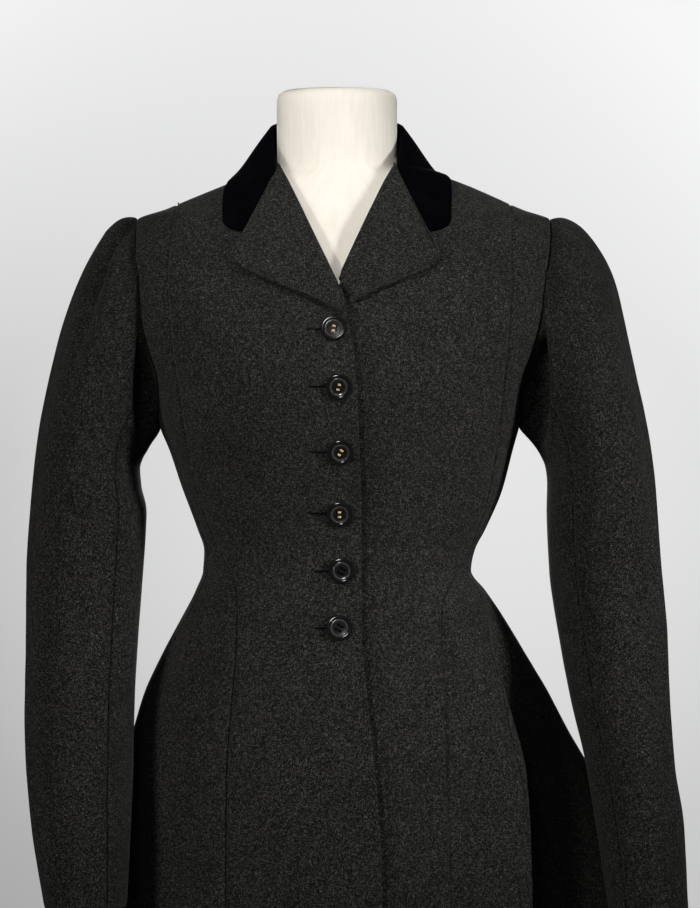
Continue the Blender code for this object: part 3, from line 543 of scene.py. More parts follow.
def makeButtonHorn(name, dark, light, smooth, worn, polish=0.6):
    material, tree, shader = newMaterial(name, dark, smooth, **{
        "Coat Weight": polish, "Coat Roughness": 0.12, "Specular IOR Level": 0.3 + polish})
    scuffs = noiseOf(tree, placesOf(tree, "Object"), 700.0, 4.0, 0.7)
    shaded(tree, shader, scuffs, [(0.4, smooth), (0.8, worn)], "Roughness")
    shaded(tree, shader, scuffs, [(0.3, dark), (0.8, light)])
    return material


def makeThread(name, colour, sheen):
    material, tree, shader = newMaterial(name, colour, 0.6, **{
        "Sheen Weight": sheen, "Specular IOR Level": sheen})
    twist = noiseOf(tree, placesOf(tree, "Object"), 2600.0, 1.0, 0.5)
    shaded(tree, shader, twist, [(0.3, scaled(colour, 0.6)), (0.7, scaled(colour, 1.35))])
    bumped(tree, shader, twist, 0.3, 0.0001)
    return material


standLook = {
    "dark": (0.026, 0.026, 0.029), "middle": (0.035, 0.035, 0.038), "light": (0.046, 0.046, 0.049),
    "smooth": 0.32, "worn": 0.48, "grainScale": 900.0, "wearScale": 14.0,
}


def makeStandMetal():
    look = standLook
    material, tree, shader = newMaterial("standPaint", look["middle"], 0.4, **{
        "Metallic": 0.2, "Specular IOR Level": 0.5})
    solid = placesOf(tree, "Object")
    grain = noiseOf(tree, solid, look["grainScale"], 3.0, 0.6)
    shaded(tree, shader, grain, [(0.3, look["smooth"]), (0.75, look["worn"])], "Roughness")
    wear = noiseOf(tree, solid, look["wearScale"], 4.0, 0.6)
    shaded(tree, shader, wear, [(0.3, look["dark"]), (0.75, look["light"])])
    bumped(tree, shader, grain, 0.12, 0.0002)
    return material


looks = {
    "wool": makeWool("jacketWool"),
    # the sleeves use a darker copy of the same wool: painted shade for the weaker light on them
    "sleeveWoolPaintedShade": makeWool("sleeveWoolPaintedShade", woolLook["sleevePaintedShade"]),
    "velvet": makeVelvet(),
    "bodyLining": makeLining("bodyLining", (0.0045, 0.005, 0.007)),
    "sleeveLining": makeLining("sleeveLining", (0.005, 0.007, 0.018)),
    "formCloth": makeFormCloth(),
    "button": makeButtonHorn("buttonBlack", (0.0015, 0.0015, 0.0018), (0.0035, 0.0034, 0.0035), 0.15, 0.24),
    # the ring's lighter colour is painted sheen, for the soft gloss on the polished bead
    "buttonRingPaintedSheen": makeButtonHorn("buttonRingPaintedSheen", (0.030, 0.028, 0.026), (0.060, 0.056, 0.052), 0.20, 0.32),
    "buttonDish": makeButtonHorn("buttonDish", (0.005, 0.0046, 0.0042), (0.012, 0.011, 0.010),
                                 0.34, 0.46, 0.08),
    "buttonThread": makeThread("buttonThread", (0.62, 0.43, 0.20), 0.2),
    "woolThread": makeThread("woolThread", (0.010, 0.011, 0.011), 0.1),
    "holeThread": makeThread("holeThread", (0.0014, 0.0024, 0.0045), 0.03),
    "stand": makeStandMetal(),
}
print("materials made")


# Cloth: a fine grid that follows a surface, with relief along its normal and a wall thickness.
def gridNormals(points):
    normals = []
    for row in range(len(points)):
        below, above = points[max(row - 1, 0)], points[min(row + 1, len(points) - 1)]
        line = []
        for step in range(len(points[row])):
            before = points[row][max(step - 1, 0)]
            after = points[row][min(step + 1, len(points[row]) - 1)]
            line.append((after - before).cross(above[step] - below[step]).normalized())
        normals.append(line)
    return normals


def runningLengths(line):
    lengths = [0.0]
    for first, second in zip(line, line[1:]):
        lengths.append(lengths[-1] + (second - first).length)
    return lengths


def denseShares(count, pull):  # steps that lie closer together near both ends
    return [i / count - pull * math.sin(2 * math.pi * i / count) / (2 * math.pi) for i in range(count + 1)]


def meshData(name, mesh):
    data = bpy.data.meshes.new(name)
    mesh.to_mesh(data)
    mesh.free()
    return data


def addObject(name, data):
    item = bpy.data.objects.new(name, data)
    bpy.context.scene.collection.objects.link(item)
    return item


def finishPiece(name, mesh, materials, angle=50.0):
    data = meshData(name, mesh)
    for polygon in data.polygons:
        polygon.use_smooth = True
    data.set_sharp_from_angle(angle=math.radians(angle))
    for material in materials:
        data.materials.append(material)
    piece = addObject(name, data)
    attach(piece, "root")
    return piece


def gridMesh(up, across, placeAt, uvAt):
    mesh = bmesh.new()
    bmesh.ops.create_grid(mesh, x_segments=across, y_segments=up, size=0.5)
    uvLayer = mesh.loops.layers.uv.new("cloth")
    cells = {}
    for vert in mesh.verts:
        cells[vert] = (round((vert.co.x + 0.5) * across), round((vert.co.y + 0.5) * up))
        vert.co = placeAt(*cells[vert])
    for face in mesh.faces:
        for loop in face.loops:
            loop[uvLayer].uv = uvAt(*cells[loop.vert])
    return mesh, cells


leastFill = 0.31  # a sheet's area is at least this share of its width times its length


def makeCloth(name, points, relief, materials, flip, wall=None, replaced=(), plainRows=0):
    normals = gridNormals(points)
    rowLengths = [runningLengths(row) for row in points]
    columnLengths = [runningLengths(column) for column in zip(*points)]
    up, across = len(points) - 1, len(points[0]) - 1
    sense = -1.0 if flip else 1.0

    def placeAt(column, row):
        point, fromStart, fromFoot = points[row][column], rowLengths[row][column], columnLengths[column][row]
        lift = relief(point, fromStart, rowLengths[row][-1] - fromStart, fromFoot,
                      columnLengths[column][-1] - fromFoot, column / across, row / up)
        return toMetres(point + normals[row][column] * sense * lift)

    def uvAt(column, row):
        u = rowLengths[row][column] - rowLengths[row][across // 2]
        return u * 0.001, columnLengths[column][row] * 0.001

    mesh, cells = gridMesh(up, across, placeAt, uvAt)
    for face in mesh.faces:
        if min(cells[vert][1] for vert in face.verts) < plainRows:
            face.material_index = 2
    if flip:
        bmesh.ops.reverse_faces(mesh, faces=mesh.faces[:])
    area = sum(face.calc_area() for face in mesh.faces)
    piece = finishPiece(name, mesh, materials)
    solid = piece.modifiers.new("wall", "SOLIDIFY")
    solid.thickness = (wall or clothThickness) * 0.001
    solid.offset = -1.0
    solid.material_offset = 1 if len(materials) > 1 else 0
    width = max(lengths[-1] for lengths in rowLengths) * 0.001
    length = max(lengths[-1] for lengths in columnLengths) * 0.001
    area = min(max(area, leastFill * width * length), width * length)
    if replaced:
        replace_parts(piece, *replaced)
    return piece


# Creases of the body, seen from the front or the back: x and z of both ends, width, height.
bodyCreases = {
    "front": [
        (-118, -4, -78, 8, 5.0, -0.8), (-120, 12, -84, 20, 4.5, -0.6), (112, -2, 76, 10, 5.0, -0.8),
        (118, 14, 84, 24, 4.5, -0.6), (-120, -34, -117, -112, 9.0, -2.4),
        (-146, -74, -170, -142, 8.0, -2.0), (-160, 190, -128, 150, 8.0, -1.0),
        (164, 192, 134, 150, 8.0, -1.0),
    ],
    "back": [
        (-96, 0, -50, 6, 6.0, -0.9), (96, 0, 50, 6, 6.0, -0.9), (-80, 18, -40, 14, 5.0, -0.6),
        (80, 18, 40, 14, 5.0, -0.6),
    ],
}


def creaseLift(creases, u, v):  # each crease fades at its ends
    total = 0.0
    for startU, startV, endU, endV, width, height in creases:
        alongU, alongV = endU - startU, endV - startV
        size = math.hypot(alongU, alongV)
        t = ((u - startU) * alongU + (v - startV) * alongV) / (size * size)
        away = abs((u - startU) * alongV - (v - startV) * alongU) / size / width
        if -0.6 <= t <= 1.6 and away < 3.0:
            fade = math.exp(-((max(0.0, abs(t - 0.5) - 0.25) / 0.3) ** 2))
            total += height * math.exp(-away * away) * fade
    return total


def bell(away, width):
    return math.exp(-((away / width) ** 2))


seamRelief = {"dip": 1.15, "dipWidth": 1.25, "edgeDip": 0.35, "edgeRise": 0.8, "edgeWidth": 5.0,
              "pucker": 0.22, "puckerWidth": 9.0, "puckerLength": 7.0, "hemWidth": 1.3}


def seamLift(point, away, seed):  # a seam sinks in and puckers the cloth beside it
    pucker = seamRelief["pucker"] * unevenness(point, seamRelief["puckerLength"], seed)
    return (bell(away, seamRelief["puckerWidth"]) * pucker
            - seamRelief["dip"] * bell(away, seamRelief["dipWidth"]))


def panelRelief(seamStart, seamEnd, seamTop, rising):
    def relief(point, fromStart, fromEnd, fromFoot, fromTop, across, up):
        lift = 0.5 * unevenness(point, 85.0, 3.0) + 0.16 * unevenness(point, 26.0, 9.0)
        lift += creaseLift(bodyCreases["front" if point.y < 0 else "back"], point.x, point.z)
        for seam, away in ((seamStart, fromStart), (seamEnd, fromEnd), (seamTop, fromTop)):
            if seam:
                lift += seamLift(point, away, 21.0)
            else:
                lift -= seamRelief["edgeDip"] * bell(away, seamRelief["dipWidth"])
        if rising:
            lift += seamRelief["edgeRise"] * bell(fromStart, seamRelief["edgeWidth"])
        return lift - seamRelief["edgeDip"] * bell(fromFoot, seamRelief["hemWidth"])

    return relief


def pullBack(points, starts, ends, top):  # draws seam edges back by half of the gap
    for row in points:
        if starts:
            row[0] = row[0] + (row[1] - row[0]).normalized() * seamGap / 2
        if ends:
            row[-1] = row[-1] + (row[-2] - row[-1]).normalized() * seamGap / 2
    if top:
        for step in range(len(points[-1])):
            down = (points[-2][step] - points[-1][step]).normalized()
            points[-1][step] = points[-1][step] + down * seamGap / 2


bodyPlan = {"rowSteps": 9, "pull": 0.62}


def bodyPanel(node, side, first, last, topRow, columns, seamEdges, lapped=False, floor=False):
    steps = bodyPlan["rowSteps"]
    shares = denseShares(columns, bodyPlan["pull"])
    points = []
    for count in range(topRow * steps + 1):
        row = count / steps
        firstAngle, firstHeight = first(side, row)
        lastAngle, lastHeight = last(side, row)
        line = []
        for share in shares:
            angle = mix(firstAngle, lastAngle, share)
            height = mix(firstHeight, lastHeight, share)
            if floor and row > rowPlan["lower"]:
                over = (row - rowPlan["lower"]) / (rowPlan["corner"] - rowPlan["lower"])
                height = mix(rowHeights[-1], armholeFloor(angle), over)
            point = bodyPoint(angle, height)
            if lapped:
                point = point - bodyNormal(angle, height) * lapDepth(angle, height)
            line.append(point)
        points.append(line)
    starts, ends, top = seamEdges
    pullBack(points, starts, ends, top)
    rising = node == "front" and side == "right"
    makeCloth(f"{node}_{side}_cloth", points, panelRelief(*seamEdges, rising),
              [looks["wool"], looks["bodyLining"]], side == "right",
              replaced=[f"{node}_{side}"])


for side in ("right", "left"):
    top, corner, backEnd = rowPlan["top"], rowPlan["corner"], rowPlan["backEnd"]
    bodyPanel("front", side, frontEdgeLine, princessLine, top, 42, (False, True, True), lapped=side == "left")
    bodyPanel("side_front", side, princessLine, frontSideLine, top, 24, (True, True, True))
    bodyPanel("underarm", side, frontSideLine, backSideLine, corner, 24, (True, True, False), floor=True)
    bodyPanel("side_back", side, backSideLine, backLine, backEnd, 26, (True, True, False))
    bodyPanel("back", side, backLine, centreBackLine, top, 36, (True, True, True))
print("body panels made")


# Lapels: each lies on its front and folds over at the roll line.
lapelTables = {
    "right": {
        "rollX": [-50.5, -43, -34, -22.5, -11.5, -1, 4.5, 9],
        "rollZ": [355, 340, 321, 296.5, 273.5, 251, 238, 225],
        "edgeX": [-91, -84, -70, -48, -27, -12, -1, 6.5],
        "edgeZ": [274, 265, 257, 247, 238.5, 232, 227, 221.5],
    },
    "left": {
        "rollX": [50.5, 41.5, 32.5, 22.5, 12.5, 2.2],
        "rollZ": [355, 338, 319, 298, 277, 254.5],
        "edgeX": [90, 81, 66, 47, 28.5, 14],
        "edgeZ": [273, 263.5, 256, 248, 240, 233],
    },
}
lapelPlan = {"rows": 180, "face": 84, "pull": 0.72, "wrap": 9, "wrapRadius": 2.1, "wrapTaper": 12,
             "lift": 0.6, "swell": 1.6, "wall": 2.0, "edgeLift": 3.2}
lapelEdge = {"ridge": (0.55, 1.0, 0.8), "rim": (-0.6, 0.0, 0.5), "groove": (-0.50, 2.9, 0.7)}


def lapelCurves(side):
    table = lapelTables[side]
    keys = list(range(len(table["rollX"])))
    return {name: sampledCurve(keys, values, 0.02) for name, values in table.items()}, keys[-1]


def lapelPoint(side, curves, key, share):  # share runs from the roll line to the outer edge
    x = mix(curves["rollX"](key), curves["edgeX"](key), share)
    z = mix(curves["rollZ"](key), curves["edgeZ"](key), share)
    lift = lapelPlan["lift"] + lapelPlan["swell"] * (1 - share) ** 3 + lapelPlan["wall"]
    lift += lapelPlan["edgeLift"] * max(0.0, share) ** 3
    if side == "left":
        lift -= lapDepth(angleAt(x, z), z)
    return onFront(x, z, lift)


def lapelRelief(point, fromStart, fromEnd, fromFoot, fromTop, across, up):
    lift = 0.35 * unevenness(point, 40.0, 5.0) + 0.1 * unevenness(point, 12.0, 2.0)
    lift *= ease(fromStart / 8.0)
    for away in (fromEnd, fromFoot):  # a rolled edge with a pressed line beside it
        for height, place, width in lapelEdge.values():
            lift += height * bell(away - place, width)
    return lift


def makeLapel(side):
    curves, lastKey = lapelCurves(side)
    rows, wrap = lapelPlan["rows"], lapelPlan["wrap"]
    points = []
    for count in range(rows + 1):
        key = lastKey * count / rows
        roll = lapelPoint(side, curves, key, 0.0)
        outward = (roll - lapelPoint(side, curves, key, 0.04)).normalized()
        down = -bodyNormal(angleAt(roll.x, roll.z), roll.z)
        radius = lapelPlan["wrapRadius"] * ease((1 - count / rows) * lapelPlan["wrapTaper"] + 0.12)
        line = []
        for step in range(wrap):
            swing = math.pi * (1 - step / wrap)
            line.append(roll + down * radius * (1 - math.cos(swing)) + outward * radius * math.sin(swing))
        for share in denseShares(lapelPlan["face"], lapelPlan["pull"]):
            line.append(lapelPoint(side, curves, key, share))
        points.append(line)
    makeCloth(f"lapel_{side}_cloth", points, lapelRelief, [looks["wool"]], side == "left",
              wall=1.9, replaced=[f"lapel_{side}"])


for side in ("right", "left"):
    makeLapel(side)
print("lapels made")


# Collar: one velvet sheet over the fall, round the roll and down the stand.
collarHalf = {
    "rollX": [82, 72.5, 62.8, 54.5, 57.5, 58.5, 48.5, 28, 0],
    "rollY": [-86, -73, -60, -47, -18, 8, 37, 55, 62.5],
    "rollZ": [296.8, 317, 337.2, 356, 376, 393, 400, 402.5, 403],
    "edgeX": [98.5, 99.5, 98, 95.5, 93, 87, 70, 40, 0],
    "edgeY": [-80, -62, -38, -12, 10, 36, 62, 78, 84],
    "edgeZ": [301, 320, 336, 346, 348.5, 349, 346, 342, 340],
    "bulge": [0, 0, 0, 1, 3, 4, 4, 4, 4],
}
collarPlan = {"rows": 150, "fall": 26, "roll": 9, "stand": 12, "lift": 1.1, "wall": 1.7, "radius": 1.9,
              "standStart": 3.7, "standFrom": 2.6, "standRamp": 1.6, "seat": 0.6, "footIn": 1.4,
              "hiddenIn": 1.2, "hiddenDown": 2.0, "cornerKeys": 0.36, "cornerShare": 0.45}


def collarCurves():
    whole = {}
    for name, values in collarHalf.items():
        mirrored = [-v for v in values] if name.endswith("X") else values
        whole[name] = mirrored + values[-2::-1]
    keys = list(range(len(whole["rollX"])))
    return {name: sampledCurve(keys, values, 0.02) for name, values in whole.items()}, keys[-1]


def clearOfBody(point, gap):
    moved = point.copy()
    for _ in range(3):
        height = min(moved.z, neckHeight + 6)
        angle, reach = angleToward(moved, height)
        normal = bodyNormal(angle, height)
        level = Vector((moved.x, moved.y, 0))
        away = level.length * (1 - 1 / reach) * normal.dot(level.normalized())
        if away >= gap:
            return moved
        moved = moved + normal * (gap - away)
    return moved


def collarRelief(point, fromStart, fromEnd, fromFoot, fromTop, across, up):
    lift = 0.4 * unevenness(point, 34.0, 8.0) * ease(fromStart / 12.0)
    for away in (fromStart, fromFoot, fromTop):
        lift -= 0.75 * bell(away, 1.3)
    return lift


def standFoot(level, inward, last, fromEnd):  # the stand grows from nothing at the gorge
    angle = angleToward(level, neckHeight)[0]
    backShare = max(0.0, abs(angle) - 90) / 90
    foot = bodyPoint(angle, mix(neckHeight, backNeckHeight, backShare)) + inward * collarPlan["footIn"]
    foot.z += collarPlan["seat"]
    hidden = last + inward * collarPlan["hiddenIn"] - Vector((0, 0, collarPlan["hiddenDown"]))
    if fromEnd < collarPlan["standStart"]:
        foot = hidden
    return mix(hidden, foot, ease((fromEnd - collarPlan["standFrom"]) / collarPlan["standRamp"]))


def collarRow(at, fromEnd):
    roll = Vector((at["rollX"], at["rollY"], at["rollZ"]))
    edge = Vector((at["edgeX"], at["edgeY"], at["edgeZ"]))
    level = Vector((roll.x, roll.y, 0))
    outward = level.normalized()
    short = max(0.0, 1 - fromEnd / collarPlan["cornerKeys"])
    cut = collarPlan["cornerShare"] * (1 - math.sqrt(1 - short * short))
    line = []
    for step in denseShares(collarPlan["fall"], 0.4):
        share = mix(cut, 1.0, step)
        point = mix(edge, roll, share)
        point.z += at["bulge"] * math.sin(math.pi * share)
        line.append(clearOfBody(point, collarPlan["lift"]))
    fall = []
    for step, point in enumerate(line):
        slope = (line[min(step + 1, len(line) - 1)] - line[max(step - 1, 0)]).normalized()
        normal = (outward - slope * outward.dot(slope)).normalized()
        fall.append(point + normal * collarPlan["wall"])
    radius, turns, steps = collarPlan["radius"], collarPlan["roll"], collarPlan["stand"]
    centre = fall[-1] - normal * radius
    rise = (line[-1] - line[-3]).normalized()
    turned = []
    for step in range(1, turns):
        swing = math.pi * step / turns
        turned.append(centre + normal * radius * math.cos(swing) + rise * radius * math.sin(swing))
    start, foot = centre - normal * radius, standFoot(level, -outward, line[-1], fromEnd)
    return fall + turned + [mix(start, foot, step / steps) for step in range(steps + 1)]


def makeCollar():
    curves, lastKey = collarCurves()
    points = []
    for count in range(collarPlan["rows"] + 1):
        key = lastKey * count / collarPlan["rows"]
        at = {name: curve(key) for name, curve in curves.items()}
        points.append(collarRow(at, min(key, lastKey - key)))
    makeCloth("collar_velvet", points, collarRelief, [looks["velvet"]], False,
              wall=collarPlan["wall"], replaced=["collar_fall", "collar_stand"])


makeCollar()
print("collar made")


# Sleeves: sections between an outer and an inner point, from the armhole to the cuff.
sleeveTables = {
    "right": {
        "outerX": [177.5, 190, 204, 220, 234, 246, 257, 267, 272, 275, 274.5, 273.5, 271, 264, 251],
        "outerZ": [312, 313, 301, 277, 247, 211, 165, 108, 55, 0, -58, -112, -164, -219, -287],
        "innerX": [157, 159, 162, 165.5, 169, 173, 175.5, 174, 169.5, 172, 175, 177, 177.5, 178, 180.5],
        "innerZ": [126, 121, 117, 112, 106, 99, 90, 74, 50, 0, -58, -112, -164, -219, -285],
        "middleY": [0, -1, -2, -2, -2, -2, -2, -4, -6, -12, -28, -48, -68, -90, -108],
        "halfDepth": [63, 67, 71, 75, 77, 78, 76, 72, 68, 64, 60, 56, 52, 47, 40],
    },
    "left": {
        "outerX": [189.5, 202, 217, 232, 246, 255, 266, 278.5, 284, 288, 292, 292.5, 294.5, 301.5, 304],
        "outerZ": [312, 315, 305, 287, 259, 224, 173, 112, 62, 0, -59, -112, -164, -221, -302],
        "innerX": [162, 165, 169, 173.5, 178, 182, 185.5, 187, 186.5, 188.5, 196.5, 205, 216.5, 225, 236],
        "innerZ": [126, 122, 118, 113, 107, 100, 91, 76, 52, 0, -59, -112, -164, -221, -300],
        "middleY": [0, -1, -2, -2, -2, -2, -2, -4, -6, -10, -24, -44, -64, -80, -98],
        "halfDepth": [63, 67, 71, 75, 77, 78, 76, 72, 68, 64, 60, 55, 50, 46, 40],
    },
}
sleevePlan = {"gap": 0.5, "rowSteps": 15, "seamTurn": 126.2, "topColumns": 78, "underColumns": 26,
              "pull": 0.3, "gatheredTo": 115, "plainRows": 16, "turnIn": ((1.7, 0.1), (3.1, 1.9))}

# Gathers and folds of the sleeve head: rows, turns round the armhole, heights in mm, and width.
sleeveGathers = {
    "right": [
        ([0.2, 1, 2, 2.5, 3, 3.9, 5, 6.4], [20, 27, 36.5, 44, 49, 56, 59, 62],
         [-1.6, -5.0, -7.4, -7.8, -7.0, -4.8, -2.4, 0], 6.0),
        ([0.2, 1, 2, 3, 4.4, 6.2], [8, 13, 21, 32, 40, 44], [1.0, 2.6, 3.4, 3.0, 1.5, 0], 8.0),
        ([0.2, 1.2, 2.4, 3.6], [44, 56, 70, 78], [-0.8, -1.4, -0.9, 0], 6.0),
        ([0.2, 1, 2, 3.2], [-6, -8, -10, -12], [-1.0, -1.8, -1.4, 0], 5.0),
        ([0.2, 1, 2.4, 4.6], [-22, -27, -34, -42], [-1.2, -2.6, -2.2, 0], 6.0),
        ([0.2, 1, 2, 3.4], [-40, -47, -56, -62], [-1.0, -2.0, -1.5, 0], 6.0),
        ([0.2, 1, 2.2], [-60, -68, -76], [-0.8, -1.3, 0], 6.0),
    ],
    "left": [
        ([0.2, 1, 2, 3, 4.4], [14, 20, 27, 33, 38], [-0.9, -1.6, -1.5, -0.9, 0], 6.0),
        ([0.2, 1, 2, 3.4], [36, 45, 55, 62], [-0.6, -1.1, -0.8, 0], 6.5),
        ([0.2, 1, 2, 3], [-4, -5, -6, -8], [-1.1, -2.0, -1.3, 0], 5.0),
        ([0.2, 1, 2.4, 4.2], [-20, -26, -33, -40], [-1.3, -2.8, -2.2, 0], 6.0),
        ([0.2, 1, 2, 3.6], [-38, -46, -54, -60], [-1.0, -2.1, -1.6, 0], 6.0),
        ([0.2, 1, 2.2], [-58, -66, -75], [-0.8, -1.4, 0], 6.0),
    ],
}
gatherCurves = {
    side: [(smoothCurve(rows, turns), smoothCurve(rows, heights), width, rows[-1])
           for rows, turns, heights, width in folds]
    for side, folds in sleeveGathers.items()
}

# The armpit hollow: between the armhole and a crease, the cloth is drawn in towards the body.
armpitHollow = {"turns": [60, 66, 78, 93, 103, 119, 140, 168],
                "rows": [0.15, 0.3, 0.62, 1.25, 1.7, 2.7, 3.8, 5.3],
                "depth": 18.0, "backShare": 0.45, "softStart": 0.3, "deepFrom": 32, "fadeAt": 140, "fade": 27,
                "openBy": 0.3, "closeFrom": 0.72, "closeBy": 0.30, "rim": 0.08, "rimAt": 1.15,
                "rimWidth": 0.25}
hollowRow = sampledCurve(armpitHollow["turns"], armpitHollow["rows"])

# Creases of the sleeves: turn and row of both ends, width and height in mm.
turnSize, rowSize = 0.95, 52
sleeveCreaseTable = {
    "right": [
        (18, 4.6, 34, 9.0, 9.0, -1.5), (62, 7.6, 96, 8.4, 6.0, -1.6), (70, 9.0, 104, 9.2, 5.5, -1.5),
        (58, 10.0, 100, 9.8, 6.5, -1.3), (20, 9.6, 40, 12.8, 10.0, -1.6), (64, 13.7, 20, 13.3, 4.0, -1.1),
        (-60, 8.4, -100, 8.8, 7.0, -1.6), (-50, 9.6, -96, 9.8, 7.0, -1.4),
    ],
    "left": [
        (24, 5.0, 40, 9.2, 9.0, -1.4), (60, 7.8, 98, 8.2, 6.0, -1.6), (66, 9.2, 104, 9.0, 5.5, -1.5),
        (30, 9.8, 48, 13.0, 10.0, -1.7), (80, 10.6, 44, 10.9, 6.0, -1.2),
        (-60, 8.4, -100, 8.8, 7.0, -1.6), (-50, 9.7, -96, 9.9, 7.0, -1.4),
    ],
}
sleeveCreases = {
    side: [(startTurn * turnSize, startRow * rowSize, endTurn * turnSize, endRow * rowSize, width, height)
           for startTurn, startRow, endTurn, endRow, width, height in creases]
    for side, creases in sleeveCreaseTable.items()
}


def gatherLift(side, turn, row):
    total = 0.0
    for turnAt, heightAt, width, last in gatherCurves[side]:
        if row < last:
            apart = (turn - turnAt(row)) / width
            if abs(apart) < 3.0:
                total += heightAt(row) * math.exp(-apart * apart)
    return total * ease(row / 0.5)


def hollowLift(turn, row):
    across, turns = abs(turn), armpitHollow["turns"]
    if across < turns[0] or across > turns[-1]:
        return 0.0
    edge = hollowRow(across)
    depth = armpitHollow["depth"] * ease((across - turns[0]) / armpitHollow["deepFrom"])
    depth *= 1 - ease((across - armpitHollow["fadeAt"]) / armpitHollow["fade"])
    if turn < 0:
        depth *= armpitHollow["backShare"]
    opening = ease(row / max(armpitHollow["openBy"] * edge, armpitHollow["softStart"]))
    closing = ease((row - armpitHollow["closeFrom"] * edge) / (armpitHollow["closeBy"] * edge))
    rim = armpitHollow["rim"] * bell(row - armpitHollow["rimAt"] * edge, armpitHollow["rimWidth"])
    return depth * opening * (rim - (1 - closing))


def sleevePoint(side, at, row, turn):
    sign = signOf(side)
    outer = Vector((sign * at["outerX"], at["middleY"], at["outerZ"]))
    inner = Vector((sign * at["innerX"], at["middleY"], at["innerZ"]))
    swing = math.radians(turn)
    reach = (outer - inner) / 2
    point = (outer + inner) / 2 + reach * math.cos(swing) + Vector((0, -at["halfDepth"] * math.sin(swing), 0))
    blend = ease(row / 2)
    if blend >= 1:
        return point
    y, z = armholeSide(turn)
    edge = bodyPoint(armholeAngle(side, turn), z)
    return mix(Vector((edge.x + sign * sleevePlan["gap"], y, z)), point, blend)


def sleeveRelief(side, turns):
    def relief(point, fromStart, fromEnd, fromFoot, fromTop, across, up):
        turn = turns[round(across * (len(turns) - 1))]
        row = (up * (14.0 * sleevePlan["rowSteps"] + 2) - 2) / sleevePlan["rowSteps"]
        if row <= 0:
            return 0.0
        lift = 0.6 * unevenness(point, 70.0, 14.0) + 0.18 * unevenness(point, 24.0, 6.0)
        lift *= ease(row / 0.8)
        if abs(turn) < sleevePlan["gatheredTo"]:
            lift += gatherLift(side, turn, row)
        lift += hollowLift(turn, row)
        lift += creaseLift(sleeveCreases[side], turn * turnSize, row * rowSize)
        lift += seamLift(point, fromStart, 31.0) + seamLift(point, fromEnd, 31.0)
        return lift - 0.5 * bell(fromTop, 1.4)

    return relief


def makeSleeve(side, node, startTurn, endTurn, columns):
    table, sleeve = sleeveTables[side], sleevePlan
    keys = list(range(len(table["outerX"])))
    curves = {name: smoothCurve(keys, values) for name, values in table.items()}
    turns = [mix(startTurn, endTurn, share) for share in denseShares(columns, sleeve["pull"])]
    turns = [turn - 360 if turn > 180 else turn for turn in turns]
    start = {name: curve(0) for name, curve in curves.items()}
    points = []
    for inward, sideways in reversed(sleeve["turnIn"]):  # the turned-in edge at the armhole
        line = []
        for turn in turns:
            swing = math.radians(turn)
            centre = Vector((0, math.sin(swing), -math.cos(swing))) * inward
            line.append(sleevePoint(side, start, 0, turn) + centre - Vector((signOf(side) * sideways, 0, 0)))
        points.append(line)
    for count in range(keys[-1] * sleeve["rowSteps"] + 1):
        row = count / sleeve["rowSteps"]
        at = {name: curve(row) for name, curve in curves.items()}
        points.append([sleevePoint(side, at, row, turn) for turn in turns])
    pullBack(points, True, True, False)
    wool, lining = looks["sleeveWoolPaintedShade"], looks["sleeveLining"]
    makeCloth(f"{node}_{side}_cloth", points, sleeveRelief(side, turns), [wool, lining, wool, wool],
              side == "right",
              replaced=[f"{node}_{side}"], plainRows=sleeve["plainRows"])


for side in ("right", "left"):
    seam = sleevePlan["seamTurn"]
    makeSleeve(side, "top_sleeve", -seam, seam, sleevePlan["topColumns"])
    makeSleeve(side, "under_sleeve", seam, 360 - seam, sleevePlan["underColumns"])
print("sleeves made")


# Dress form: a smooth padded shape under tight cotton, with a flat top to the neck.
formTable = {
    "height": [-232, -228, -200, -150, -100, -50, -20, 0, 18, 50, 90, 125, 160, 200, 240, 270,
               290, 302, 310, 316, 319.5, 328.3, 339, 347, 352, 358, 368, 405, 416, 422.5, 425.5],
    "right": [143, 150, 157, 157, 147, 128, 118, 113, 112, 123, 136, 149, 154, 155, 156, 158,
              158, 157, 154.5, 149, 141, 121.5, 94.5, 76, 62, 54.5, 53.5, 53.5, 53.5, 52, 47],
    "left": [143, 150, 158, 158, 150, 131, 120, 112.5, 116, 131, 143, 152, 158, 160, 165, 170,
             171, 170, 167, 162, 155, 136, 110, 88.5, 66, 54.5, 53.5, 53.5, 53.5, 52, 47],
    "front": [94, 99, 102, 103, 98, 88, 82, 78.5, 78.5, 85, 98, 110, 117, 115.5, 105, 93.5,
              84, 77, 72.5, 69, 66, 62, 57.5, 54, 51, 49, 48.5, 48.5, 48.5, 47, 42],
    "back": [103, 108, 112, 112, 103, 89, 80.5, 77.5, 77.5, 81, 87, 92, 95.5, 97.5, 96, 92.5,
             88, 83, 80, 77, 75, 73, 68, 63.5, 59, 56, 55, 55, 55, 53.5, 48.5],
    "roundness": [2.2, 2.2, 2.2, 2.2, 2.2, 2.2, 2.2, 2.2, 2.2, 2.25, 2.3, 2.3, 2.3, 2.3, 2.3, 2.3,
                  2.3, 2.3, 2.3, 2.3, 2.3, 2.3, 2.3, 2.3, 2.2, 2.1, 2.05, 2.05, 2.05, 2.05, 2.05],
}
formPlan = {"around": 128, "rows": 250, "capRings": 10, "clothWidth": 0.34}


def formRing(curves, height, shrink):
    ring = []
    for step in range(formPlan["around"] + 1):
        swing = 2 * math.pi * (step % formPlan["around"]) / formPlan["around"]
        across, ahead = math.sin(swing), math.cos(swing)
        power = 2 / curves["roundness"](height)
        wide = curves["left" if across > 0 else "right"](height) * shrink
        deep = curves["front" if ahead >= 0 else "back"](height) * shrink
        ring.append(Vector((math.copysign(wide * abs(across) ** power, across),
                            -math.copysign(deep * abs(ahead) ** power, ahead), height)))
    return ring


